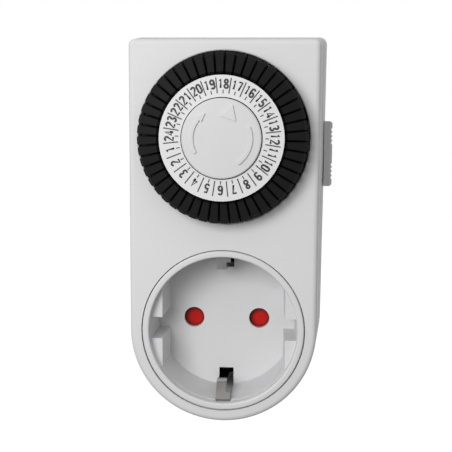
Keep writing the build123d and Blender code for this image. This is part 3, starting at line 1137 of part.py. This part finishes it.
with BuildPart() as override_slider:
    # cap that follows the drafted wall, with finger grooves towards both ends
    with BuildSketch(Plane.XY.offset(CAP_BOTTOM)):
        with BuildLine():
            Polyline(
                (wall_x(SLIDER_FRONT, CAP_TOP) + SIDE_GAP, depth(SLIDER_FRONT)),
                (SLIDER_OUTER_X, depth(SLIDER_FRONT)),
                (SLIDER_OUTER_X, depth(SLIDER_BACK)),
                (wall_x(SLIDER_BACK, CAP_TOP) + SIDE_GAP, depth(SLIDER_BACK)),
                close=True,
            )
        make_face()
    extrude(amount=SLIDER_LENGTH)
    fillet(override_slider.faces().sort_by(Axis.X)[-1].edges(), SLIDER_END_ROUND)
    groove_x = SLIDER_OUTER_X + SLIDER_GROOVE_R - SLIDER_GROOVE_DEPTH
    for number in range(SLIDER_GROOVE_COUNT):
        inset = SLIDER_GROOVE_INSET + number * SLIDER_GROOVE_PITCH
        for groove_z in (CAP_BOTTOM + inset, CAP_TOP - inset):
            slug(SLIDER_GROOVE_R, SLIDER_FRONT, SLIDER_BACK, (groove_x, groove_z), Mode.SUBTRACT)
    # neck through the wall, plate inside it
    block(INNER_PLATE_RIGHT - INNER_PLATE_T, wall_x(SLIDER_BACK, CAP_TOP), SLIDER_CENTRE_Z - NECK_LENGTH / 2,
          SLIDER_CENTRE_Z + NECK_LENGTH / 2, NECK_FRONT, NECK_FRONT + NECK_T)
    block(INNER_PLATE_RIGHT - INNER_PLATE_T, INNER_PLATE_RIGHT, CAP_BOTTOM, CAP_TOP,
          INNER_PLATE_FRONT, INNER_PLATE_BACK)
    # arm with the wedge that lifts the lever's tail
    with BuildSketch(Plane.YZ.offset(WEDGE_RIGHT - WEDGE_T)):
        with BuildLine():
            Polyline(
                (depth(wedge_depth(SLIDER_CENTRE_Z)), SLIDER_CENTRE_Z),
                (depth(wedge_depth(WEDGE_TOP)), WEDGE_TOP),
                (depth(WEDGE_BACK), WEDGE_TOP),
                (depth(WEDGE_BACK), SLIDER_CENTRE_Z),
                close=True,
            )
        make_face()
    extrude(amount=WEDGE_T)

# ---- Labels and files ----
pieces = {
    "front_housing": front_housing,
    "rear_housing": rear_housing,
    "housing_screws": housing_screws,
    "socket_insert": socket_insert,
    "shutter": shutter,
    "shutter_cover": shutter_cover,
    "shutter_spring": shutter_spring,
    "socket_earth_bow": socket_earth_bow,
    "plug_earth_bow": plug_earth_bow,
    "live_pin": live_pin,
    "neutral_pin": neutral_pin,
    "live_contact": live_contact,
    "neutral_contact": neutral_contact,
    "live_feed_strip": live_feed_strip,
    "switched_strip": switched_strip,
    "mechanism_front_plate": mechanism_front_plate,
    "mechanism_rear_plate": mechanism_rear_plate,
    "gear_arbors": gear_arbors,
    "wheel_1": wheel_1,
    "wheel_2": wheel_2,
    "wheel_3": wheel_3,
    "wheel_4": wheel_4,
    "clutch_wheel": clutch_wheel,
    "clutch_pinion": clutch_pinion,
    "motor_claw_plate": motor_claw_plate,
    "motor_cup": motor_cup,
    "motor_coil": motor_coil,
    "rotor": rotor,
    "dial_carrier": dial_carrier,
    "number_ring": number_ring,
    "pointer_cap": pointer_cap,
    "follower_lever": follower_lever,
    "microswitch_case": microswitch_case,
    "microswitch_button": microswitch_button,
    "snap_blade": snap_blade,
    "override_slider": override_slider,
    **tappets,
}
for name, piece in pieces.items():
    piece.part.label = name
    export_step(piece.part, f"parts/{name}.step")
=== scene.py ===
"""Looks of a plug-in timer switch: moulded plastics, printed dial, plated contacts, light and camera."""
import json
from math import cos, pi, radians, sin

import bpy
from mathutils import Matrix, Vector


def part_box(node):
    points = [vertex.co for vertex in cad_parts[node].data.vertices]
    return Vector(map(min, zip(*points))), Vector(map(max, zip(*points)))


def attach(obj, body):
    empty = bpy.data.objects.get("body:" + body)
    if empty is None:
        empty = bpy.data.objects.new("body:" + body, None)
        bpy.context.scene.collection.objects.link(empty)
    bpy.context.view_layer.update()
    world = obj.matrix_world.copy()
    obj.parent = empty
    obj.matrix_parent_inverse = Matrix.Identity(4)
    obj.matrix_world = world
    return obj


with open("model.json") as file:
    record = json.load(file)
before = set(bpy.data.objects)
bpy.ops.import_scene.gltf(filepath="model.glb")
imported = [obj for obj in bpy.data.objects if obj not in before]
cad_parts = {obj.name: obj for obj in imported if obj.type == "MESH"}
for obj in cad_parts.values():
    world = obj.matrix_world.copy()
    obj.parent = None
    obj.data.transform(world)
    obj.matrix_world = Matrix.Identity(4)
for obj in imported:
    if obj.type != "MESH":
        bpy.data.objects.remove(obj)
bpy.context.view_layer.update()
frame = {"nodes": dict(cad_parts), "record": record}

MM = 0.001

# ---- Places read from the frame ----
nodes = frame["nodes"]
ring_low, ring_high = (Vector(corner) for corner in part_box("number_ring"))
DIAL_CENTRE = (ring_low + ring_high) / 2
RING_FRONT_Y = ring_low.y
HOUSING_LOW = Vector(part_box("front_housing")[0])
SHUTTER_FRONT_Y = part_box("shutter")[0][1]

# ---- Grain, marks and sheen of the materials ----
FLOW_SIZE = 14 * MM
FLOW_SHEEN = (0.9, 1.15)
PLASTIC_IOR = 1.5
METAL_SHEEN = (0.7, 1.4)
METAL_MARK_STRENGTH = 0.6
METAL_MARK_DEPTH = 0.01 * MM
INK_PATCH = 0.4 * MM
INK_THIN = 1.6
INK_ROUGHNESS = 0.5

# ---- Shades: where each lies, how far it is full and where it ends ----
PARTING_DEPTH = 12 * MM
PARTING_SHADE_FULL = 0.25 * MM
PARTING_SHADE_END = 0.4 * MM
# painted shade on the earth contacts inside their slot
SLOT_SHADE_DEPTH = 20 * MM
SLOT_SHADE_FULL = 7.5 * MM
SLOT_SHADE_END = 11.8 * MM
PIN_X = 9.5 * MM
# painted shadow of each pin hole's edge on the shutter
HOLE_SHADOW_SHIFT = 0.35 * MM
HOLE_SHADOW_CLEAR_R = 1.5 * MM
HOLE_SHADOW_FULL_R = 3.0 * MM

# ---- Sizes of what is printed on the dial ----
PRINT_TURN = radians(-1.4)
PRINT_OFFSET = Vector((0.1, 0, 0.28)) * MM
HOUR_STEP = radians(15)
TOP_HOUR = 18
PRINT_T = 0.03 * MM
PRINT_EDGE = 0.008 * MM
SEAM_REACH = 0.0001 * MM
DIGIT_HEIGHT = 2.65 * MM
DIGIT_PITCH = 1.5 * MM
DIGIT_HALF_WIDTH = 0.175
DIGIT_STROKE = 0.19
BOW_STEP_DEGREES = 18
DIGIT_MIDDLE_R = 13.64 * MM
HOUR_LINE_INNER_R = 11.3 * MM
HOUR_LINE_OUTER_R = 15.3 * MM
HOUR_LINE_WIDTH = 0.3 * MM
HALF_LINE_INNER_R = 11.2 * MM
HALF_LINE_OUTER_R = 12.15 * MM
HALF_LINE_WIDTH = 0.26 * MM

# ---- Camera, light and surroundings ----
FRAME_PX = 452
FOCAL_PX = 898.3
SENSOR = 36.0
CAMERA_PLACE = Vector((15.8, -286.5, 57.97)) * MM
CAMERA_YAW = radians(3.59)
CAMERA_PITCH = radians(6.86)
CAMERA_ROLL = radians(0.30)
AMBIENT = 0.485
KEY_PLACE = Vector((-0.11, -0.34, 0.12))
KEY_SIZE = 0.16
KEY_POWER = 0.75
FLOOR_DROP = 0.17
FLOOR_SIZE = 4.0
FLOOR_LIFT = 0.94
FLOOR_GREY = "#8A8A8A"


# ---- Small helpers ----
def linear(hex_colour):
    """sRGB hex colour as linear RGBA."""
    channels = [int(hex_colour[start:start + 2], 16) / 255 for start in (1, 3, 5)]
    return [c / 12.92 if c <= 0.04045 else ((c + 0.055) / 1.055) ** 2.4 for c in channels] + [1.0]


def add_node(tree, kind, links=None, **settings):
    """Add a node. Settings are its properties or its inputs' values; links feed its inputs."""
    node = tree.nodes.new(kind)
    for name, value in settings.items():
        if hasattr(node, name):
            setattr(node, name, value)
        else:
            node.inputs[name.replace("_", " ")].default_value = value
    for name, output in (links or {}).items():
        tree.links.new(output, node.inputs[name])
    return node


def new_material(name):
    """Empty node material."""
    material = bpy.data.materials.new(name)
    material.use_nodes = True
    material.node_tree.nodes.clear()
    return material


def moulded_plastic(name, hex_colour, roughness, grain_mm, grain_depth_mm, specular=0.5, wear=0.04):
    """Injection moulded plastic: one colour, its mould's grain, and flow marks that wear darkens."""
    material = new_material(name)
    tree = material.node_tree
    place = add_node(tree, "ShaderNodeTexCoord")
    flow = add_node(tree, "ShaderNodeTexNoise", {"Vector": place.outputs["Object"]},
                    Scale=1 / FLOW_SIZE, Detail=3.0, Roughness=0.5)
    base = linear(hex_colour)
    dull = [channel * (1 - wear) for channel in base[:3]] + [1.0]
    colour = add_node(tree, "ShaderNodeMix", {"Factor": flow.outputs["Fac"]},
                      data_type="RGBA", A=base, B=dull)
    # the grain is drawn coarser than a real mould leaves it, so that it shows on a part of this size
    grain = add_node(tree, "ShaderNodeTexNoise", {"Vector": place.outputs["Object"]},
                     Scale=1 / (grain_mm * MM), Detail=2.0)
    sheen = add_node(tree, "ShaderNodeMapRange", {"Value": flow.outputs["Fac"]},
                     To_Min=roughness * FLOW_SHEEN[0], To_Max=roughness * FLOW_SHEEN[1])
    bump = add_node(tree, "ShaderNodeBump", {"Height": grain.outputs["Fac"]},
                    Strength=1.0, Distance=grain_depth_mm * MM)
    shader = add_node(tree, "ShaderNodeBsdfPrincipled",
                      {"Base Color": colour.outputs["Result"], "Roughness": sheen.outputs["Result"],
                       "Normal": bump.outputs["Normal"]},
                      IOR=PLASTIC_IOR, Specular_IOR_Level=specular)
    add_node(tree, "ShaderNodeOutputMaterial", {"Surface": shader.outputs["BSDF"]})
    return material


def metal(name, hex_colour, roughness, scratch_mm, stretch=(1, 1, 1)):
    """Bare or plated metal: one tint, with rolling or drawing marks in its roughness and surface."""
    material = new_material(name)
    tree = material.node_tree
    place = add_node(tree, "ShaderNodeTexCoord")
    drawn = add_node(tree, "ShaderNodeMapping", {"Vector": place.outputs["Object"]}, Scale=stretch)
    # the marks are drawn coarser than real ones, so that they show on a part of this size
    marks = add_node(tree, "ShaderNodeTexNoise", {"Vector": drawn.outputs["Vector"]},
                     Scale=1 / (scratch_mm * MM), Detail=4.0)
    sheen = add_node(tree, "ShaderNodeMapRange", {"Value": marks.outputs["Fac"]},
                     To_Min=roughness * METAL_SHEEN[0], To_Max=roughness * METAL_SHEEN[1])
    bump = add_node(tree, "ShaderNodeBump", {"Height": marks.outputs["Fac"]},
                    Strength=METAL_MARK_STRENGTH, Distance=METAL_MARK_DEPTH)
    shader = add_node(tree, "ShaderNodeBsdfPrincipled",
                      {"Roughness": sheen.outputs["Result"], "Normal": bump.outputs["Normal"]},
                      Base_Color=linear(hex_colour), Metallic=1.0)
    add_node(tree, "ShaderNodeOutputMaterial", {"Surface": shader.outputs["BSDF"]})
    return material


def blend_shade(material, amount, shade_hex):
    """Blend a shade into a material's base colour; the amount is a socket from 0 to 1."""
    tree = material.node_tree
    shader = tree.nodes["Principled BSDF"]
    base = shader.inputs["Base Color"]
    mix = add_node(tree, "ShaderNodeMix", {"Factor": amount}, data_type="RGBA")
    if base.links:
        tree.links.new(base.links[0].from_socket, mix.inputs["A"])
    else:
        mix.inputs["A"].default_value = base.default_value[:]
    mix.inputs["B"].default_value = linear(shade_hex)
    tree.links.new(mix.outputs["Result"], base)


def shade_near_plane(material, shade_hex, plane_y, full_within, none_beyond):
    """Shade a material near one plane across Y, between two distances from it."""
    tree = material.node_tree
    place = add_node(tree, "ShaderNodeTexCoord")
    parts = add_node(tree, "ShaderNodeSeparateXYZ", {"Vector": place.outputs["Object"]})
    offset = add_node(tree, "ShaderNodeMath", {0: parts.outputs["Y"]}, operation="SUBTRACT")
    offset.inputs[1].default_value = plane_y
    distance = add_node(tree, "ShaderNodeMath", {0: offset.outputs["Value"]}, operation="ABSOLUTE")
    amount = add_node(tree, "ShaderNodeMapRange", {"Value": distance.outputs["Value"]},
                      From_Min=full_within, From_Max=none_beyond, To_Min=1.0, To_Max=0.0)
    blend_shade(material, amount.outputs["Result"], shade_hex)


def shade_round_two(material, shade_hex, centres, none_within, full_beyond):
    """Shade a material away from two centres, between two distances from the nearer one."""
    tree = material.node_tree
    place = add_node(tree, "ShaderNodeTexCoord")
    reaches = []
    for centre in centres:
        reach = add_node(tree, "ShaderNodeVectorMath", {0: place.outputs["Object"]},
                         operation="DISTANCE")
        reach.inputs[1].default_value = centre
        reaches.append(reach.outputs["Value"])
    nearer = add_node(tree, "ShaderNodeMath", dict(enumerate(reaches)), operation="MINIMUM")
    amount = add_node(tree, "ShaderNodeMapRange", {"Value": nearer.outputs["Value"]},
                      From_Min=none_within, From_Max=full_beyond)
    blend_shade(material, amount.outputs["Result"], shade_hex)


def ink(name, hex_colour):
    """Pad printing ink: satin, with paler patches where it is thin."""
    material = new_material(name)
    tree = material.node_tree
    place = add_node(tree, "ShaderNodeTexCoord")
    # the patches are drawn coarser than real ones, so that they show on figures this small
    cover = add_node(tree, "ShaderNodeTexNoise", {"Vector": place.outputs["Object"]},
                     Scale=1 / INK_PATCH, Detail=2.0)
    base = linear(hex_colour)
    thin = [min(channel * INK_THIN, 1.0) for channel in base[:3]] + [1.0]
    colour = add_node(tree, "ShaderNodeMix", {"Factor": cover.outputs["Fac"]},
                      data_type="RGBA", A=base, B=thin)
    shader = add_node(tree, "ShaderNodeBsdfPrincipled", {"Base Color": colour.outputs["Result"]},
                      Roughness=INK_ROUGHNESS)
    add_node(tree, "ShaderNodeOutputMaterial", {"Surface": shader.outputs["BSDF"]})
    return material


# ---- Materials ----
# spark eroded mould: a fine even grain that keeps the white broad faces soft, without a sharp gleam
housing_abs = moulded_plastic("white_abs_spark_finish", "#DCDCDD", 0.5, 0.35, 0.006, specular=0.25)
# smoother mould: the recess wall reads a little glossier than the housing
insert_pc = moulded_plastic("white_polycarbonate_smooth", "#DADADB", 0.38, 0.8, 0.003, specular=0.3)
# coloured through: two deep red spots behind the pin holes, the only colour
shutter_abs = moulded_plastic("red_abs_smooth", "#BE1A13", 0.4, 0.6, 0.003, specular=0.15)
# plain grey moulding, seen only from inside
cover_abs = moulded_plastic("grey_abs_plain", "#5A5A5C", 0.5, 0.5, 0.006)
# calm white ground that makes the printed hours stand out
ring_abs = moulded_plastic("white_abs_print_ground", "#DADADB", 0.5, 0.5, 0.003)
# a shade darker and glossier than the ring, so that the raised arrows catch the light
cap_abs = moulded_plastic("white_abs_cap", "#CECECF", 0.4, 0.8, 0.003)
# satin black with uneven sheen: the crown of tappets reads as separate worn blocks
tappet_abs = moulded_plastic("black_abs_satin", "#151516", 0.5, 0.4, 0.004, specular=0.1, wear=0.25)
# duller black under the tappets: the gaps between them stay dark
drum_abs = moulded_plastic("black_abs_plain", "#0C0C0D", 0.5, 0.4, 0.008, specular=0.1, wear=0.2)
# light grey moulding that sets the switch apart from the white wall
slider_abs = moulded_plastic("grey_abs_slider", "#D6D6D6", 0.45, 0.35, 0.006)
# rough glass filled surface of the mechanism's plates
plate_nylon = moulded_plastic("grey_glass_filled_nylon", "#8C8C88", 0.6, 0.3, 0.012)
# dark, slightly waxy gears: nothing pale shows through the gap round the dial
gear_acetal = moulded_plastic("black_acetal", "#1C1B1A", 0.45, 0.4, 0.004, specular=0.2)
# brown black pressed case of the microswitch
case_bakelite = moulded_plastic("black_phenolic", "#1A1816", 0.45, 0.3, 0.008)
# bright drawn pins with fine lengthways marks
pin_nickel = metal("nickel_plated_brass", "#D8D2C4", 0.16, 0.3, (1, 0.2, 1))
# yellow rolled strips: current paths stand out from the grey metal
strip_brass = metal("rolled_brass", "#D9B25F", 0.3, 0.25, (1, 1, 0.15))
# pale satin plating of the earth contacts, rubbed where plugs slide over it
earth_bronze = metal("nickel_plated_spring_bronze", "#B4B2AE", 0.3, 0.25, (1, 0.15, 0.15))
# cool bright zinc of screws, arbors and spring
screw_steel = metal("zinc_plated_steel", "#BEC0C2", 0.28, 0.3)
# duller pressed sheet of the motor cup
motor_steel = metal("pressed_steel", "#B0B0AE", 0.4, 0.3)
# enamelled winding: warm brown, marked round the coil
coil_copper = metal("enamelled_copper_wire", "#8E3F1D", 0.35, 0.12, (0.2, 1, 0.2))
# dark, sandy magnet
rotor_ferrite = moulded_plastic("bonded_ferrite", "#2A2625", 0.6, 0.2, 0.01)
# near black ink, slightly uneven: the hours stay readable at dial size
print_ink = ink("black_print_ink", "#141416")

# shade that gathers in the joint between the housings
shade_near_plane(housing_abs, "#2C2C2C", HOUSING_LOW.y + PARTING_DEPTH,
                 PARTING_SHADE_FULL, PARTING_SHADE_END)
# painted shade: the middle of the earth contacts, deep inside the housing, is darkened to near black as
# if shadowed in the slot
shade_near_plane(earth_bronze, "#0E0D0C", HOUSING_LOW.y + SLOT_SHADE_DEPTH, SLOT_SHADE_FULL, SLOT_SHADE_END)
# painted shadow of each pin hole's edge on the shutter: darker towards the hole's rim, centred a little
# right of and below the hole, so the upper left edge is darkest
hole_shadow_centres = [(side * PIN_X + HOLE_SHADOW_SHIFT, SHUTTER_FRONT_Y, -HOLE_SHADOW_SHIFT) for side in (-1, 1)]
shade_round_two(shutter_abs, "#420807", hole_shadow_centres, HOLE_SHADOW_CLEAR_R, HOLE_SHADOW_FULL_R)

slot_materials = {
    "housing_white": housing_abs, "insert_white": insert_pc, "shutter_red": shutter_abs,
    "cover_grey": cover_abs, "ring_white": ring_abs, "cap_white": cap_abs, "tappet_black": tappet_abs,
    "drum_black": drum_abs, "slider_grey": slider_abs, "plate_grey": plate_nylon,
    "gear_acetal": gear_acetal, "case_black": case_bakelite, "pin_nickel": pin_nickel,
    "strip_brass": strip_brass, "earth_steel": earth_bronze, "screw_steel": screw_steel,
    "motor_steel": motor_steel, "coil_copper": coil_copper, "rotor_ferrite": rotor_ferrite,
}
for entry in frame["record"]["subparts"]:
    for material_slot in nodes[entry["node"]].material_slots:
        material_slot.material = slot_materials[entry["material_slot"]]


# ---- Dial print ----
def deselect_all():
    bpy.ops.object.select_all(action="DESELECT")


def on_dial(radius, angle):
    """Point in the print on the number ring's front. Its centre is a little off the ring's centre."""
    centre = DIAL_CENTRE + PRINT_OFFSET
    return Vector((centre.x + radius * cos(angle), RING_FRONT_Y - PRINT_T / 2,
                   centre.z + radius * sin(angle)))


def hour_angle(hour):
    """Direction of an hour's number: the hours run anticlockwise."""
    return pi / 2 + (hour - TOP_HOUR) * HOUR_STEP + PRINT_TURN


def facing_turn(angle):
    """Turn that stands a flat mark on the dial's face with its top towards the rim."""
    return (Matrix.Rotation(angle - pi / 2, 4, Vector((0, -1, 0)))
            @ Matrix.Rotation(pi / 2, 4, "X"))


def join_pieces(pieces, name):
    """Join meshes into one piece with its place in its mesh."""
    deselect_all()
    for piece in pieces:
        piece.select_set(True)
    bpy.context.view_layer.objects.active = pieces[0]
    bpy.ops.object.join()
    joined = bpy.context.view_layer.objects.active
    bpy.ops.object.mode_set(mode="EDIT")
    bpy.ops.mesh.select_all(action="SELECT")
    bpy.ops.mesh.remove_doubles(threshold=SEAM_REACH)
    bpy.ops.mesh.normals_make_consistent(inside=False)
    bpy.ops.object.mode_set(mode="OBJECT")
    joined.name = name
    joined.data.name = name
    return joined


def bow(centre, radii, start, end):
    """Points along part of an ellipse between two angles in degrees."""
    steps = round(abs(end - start) / BOW_STEP_DEGREES)
    angles = [radians(start + (end - start) * step / steps) for step in range(steps + 1)]
    return [(centre[0] + radii[0] * cos(angle), centre[1] + radii[1] * sin(angle)) for angle in angles]


def digit_strokes():
    """Centre lines of plain narrow digits, one unit tall and centred on x = 0."""
    half = DIGIT_HALF_WIDTH
    low = DIGIT_STROKE / 2
    high = 1 - low
    six = [bow((0, 0.31), (half, 0.31 - low), 90, 450),
           bow((0, 0.7), (half, 0.3 - low), 25, 180) + [(-half, 0.31)]]
    return {
        "0": [bow((0, 0.7), (half, 0.3 - low), 180, 0) + bow((0, 0.3), (half, 0.3 - low), 0, -180)
              + [(-half, 0.7)]],
        "1": [[(-0.11, 0.77), (0.03, high), (0.03, low)]],
        "2": [bow((0, 0.72), (half, 0.28 - low), 165, -25) + [(-half, low), (half + 0.01, low)]],
        "3": [bow((0, 0.74), (half - 0.01, 0.26 - low), 155, -75)
              + bow((0, 0.27), (half, 0.27 - low), 75, -155)],
        "4": [[(0.08, low), (0.08, high), (-0.2, 0.3), (0.2, 0.3)]],
        "5": [[(0.14, high), (-0.11, high), (-0.13, 0.5)]
              + bow((0, 0.32), (half, 0.32 - low), 130, -155)],
        "6": six,
        "7": [[(-half, high), (half, high), (-0.04, low)]],
        "8": [bow((0, 0.75), (half - 0.02, 0.25 - low), 270, -90),
              bow((0, 0.28), (half, 0.28 - low), 90, 450)],
        "9": [[(-x, 1 - y) for x, y in stroke] for stroke in six],
    }


def printed_number(hour, strokes_of):
    """One hour's number, drawn with strokes of one width, as a thin printed mesh."""
    curve = bpy.data.curves.new(f"number_{hour}", "CURVE")
    curve.dimensions = "3D"
    curve.bevel_depth = DIGIT_STROKE * DIGIT_HEIGHT / 2
    curve.bevel_resolution = 1
    curve.use_fill_caps = True
    digits = str(hour)
    for place, digit in enumerate(digits):
        shift = (place - (len(digits) - 1) / 2) * DIGIT_PITCH
        for stroke in strokes_of[digit]:
            spline = curve.splines.new("POLY")
            spline.points.add(len(stroke) - 1)
            for point, (x, y) in zip(spline.points, stroke):
                point.co = (shift + x * DIGIT_HEIGHT, (y - 0.5) * DIGIT_HEIGHT, 0, 1)
    number = bpy.data.objects.new(f"number_{hour}", curve)
    bpy.context.scene.collection.objects.link(number)
    deselect_all()
    number.select_set(True)
    bpy.context.view_layer.objects.active = number
    bpy.ops.object.convert(target="MESH")
    number = bpy.context.object
    flat = Matrix.Diagonal((1, 1, PRINT_T / (DIGIT_STROKE * DIGIT_HEIGHT), 1))
    angle = hour_angle(hour)
    number.matrix_world = Matrix.Translation(on_dial(DIGIT_MIDDLE_R, angle)) @ facing_turn(angle) @ flat
    bpy.ops.object.transform_apply(location=True, rotation=True, scale=True)
    return number


def printed_line(angle, inner_r, outer_r, width):
    """One radial line as a thin printed mesh."""
    deselect_all()
    bpy.ops.mesh.primitive_cube_add(size=1)
    line = bpy.context.object
    size = Matrix.Diagonal((width, outer_r - inner_r, PRINT_T, 1))
    place = Matrix.Translation(on_dial((inner_r + outer_r) / 2, angle))
    line.matrix_world = place @ facing_turn(angle) @ size
    bpy.ops.object.transform_apply(location=True, rotation=True, scale=True)
    soft_edge = line.modifiers.new("soft_edge", "BEVEL")
    soft_edge.width = PRINT_EDGE
    soft_edge.segments = 2
    bpy.ops.object.modifier_apply(modifier="soft_edge")
    return line


hours = range(1, 25)
plain_digits = digit_strokes()
numbers = join_pieces([printed_number(hour, plain_digits) for hour in hours], "dial_numbers")
lines = []
for hour in hours:
    angle = hour_angle(hour)
    lines.append(printed_line(angle + HOUR_STEP / 2, HOUR_LINE_INNER_R, HOUR_LINE_OUTER_R,
                              HOUR_LINE_WIDTH))
    lines.append(printed_line(angle, HALF_LINE_INNER_R, HALF_LINE_OUTER_R, HALF_LINE_WIDTH))
scale_lines = join_pieces(lines, "dial_lines")
for printed in (numbers, scale_lines):
    printed.data.materials.clear()
    printed.data.materials.append(print_ink)
    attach(printed, "dial")


# ---- Floor, world, light and camera ----
def seen_directly(tree):
    """Socket that is 1 for what the camera sees, straight on, mirrored or through glass, and else 0."""
    rays = add_node(tree, "ShaderNodeLightPath")
    seen = rays.outputs["Is Camera Ray"]
    for ray in ("Is Glossy Ray", "Is Transmission Ray"):
        either = add_node(tree, "ShaderNodeMath", {0: seen, 1: rays.outputs[ray]},
                          operation="MAXIMUM")
        seen = either.outputs["Value"]
    return seen


def pale_floor():
    """Large grey floor under the object; a glow for the camera makes it white and keeps the shadow."""
    deselect_all()
    bpy.ops.mesh.primitive_plane_add(size=FLOOR_SIZE, location=(0, 0, HOUSING_LOW.z - FLOOR_DROP))
    floor = bpy.context.object
    floor.name = "floor"
    bpy.ops.object.transform_apply(location=True, rotation=True, scale=True)
    material = new_material("white_paper_sweep")
    tree = material.node_tree
    paper = add_node(tree, "ShaderNodeBsdfDiffuse", Color=linear(FLOOR_GREY))
    lift = add_node(tree, "ShaderNodeMath", {0: seen_directly(tree)}, operation="MULTIPLY")
    lift.inputs[1].default_value = FLOOR_LIFT
    glow = add_node(tree, "ShaderNodeEmission", {"Strength": lift.outputs["Value"]})
    both = add_node(tree, "ShaderNodeAddShader",
                    {0: paper.outputs["BSDF"], 1: glow.outputs["Emission"]})
    add_node(tree, "ShaderNodeOutputMaterial", {"Surface": both.outputs["Shader"]})
    floor.data.materials.append(material)


def studio_world():
    """Surroundings that the camera and reflections see white, and that light softly and evenly."""
    world = bpy.data.worlds.new("studio")
    world.use_nodes = True
    bpy.context.scene.world = world
    tree = world.node_tree
    tree.nodes.clear()
    strength = add_node(tree, "ShaderNodeMapRange", {"Value": seen_directly(tree)},
                        To_Min=AMBIENT, To_Max=1.0)
    light = add_node(tree, "ShaderNodeBackground", {"Strength": strength.outputs["Result"]},
                     Color=(1, 1, 1, 1))
    add_node(tree, "ShaderNodeOutputWorld", {"Surface": light.outputs["Background"]})


def key_light():
    """Soft box above the left shoulder of the camera."""
    lamp = bpy.data.lights.new("key", "AREA")
    lamp.shape = "SQUARE"
    lamp.size = KEY_SIZE
    lamp.energy = KEY_POWER
    holder = bpy.data.objects.new("key", lamp)
    bpy.context.scene.collection.objects.link(holder)
    holder.location = KEY_PLACE
    aim = DIAL_CENTRE - KEY_PLACE
    holder.rotation_euler = aim.to_track_quat("-Z", "Y").to_euler()


def viewing_camera():
    """Camera of a square frame, above and right of the socket, that looks at the part's face."""
    camera = bpy.data.cameras.new("camera")
    camera.sensor_width = SENSOR
    camera.lens = SENSOR * FOCAL_PX / FRAME_PX
    holder = bpy.data.objects.new("camera", camera)
    bpy.context.scene.collection.objects.link(holder)
    holder.matrix_world = (Matrix.Translation(CAMERA_PLACE) @ Matrix.Rotation(CAMERA_YAW, 4, "Z")
                           @ Matrix.Rotation(pi / 2 - CAMERA_PITCH, 4, "X")
                           @ Matrix.Rotation(CAMERA_ROLL, 4, "Z"))
    bpy.context.scene.camera = holder


pale_floor()
studio_world()
key_light()
viewing_camera()
bpy.context.scene.view_settings.view_transform = "Standard"
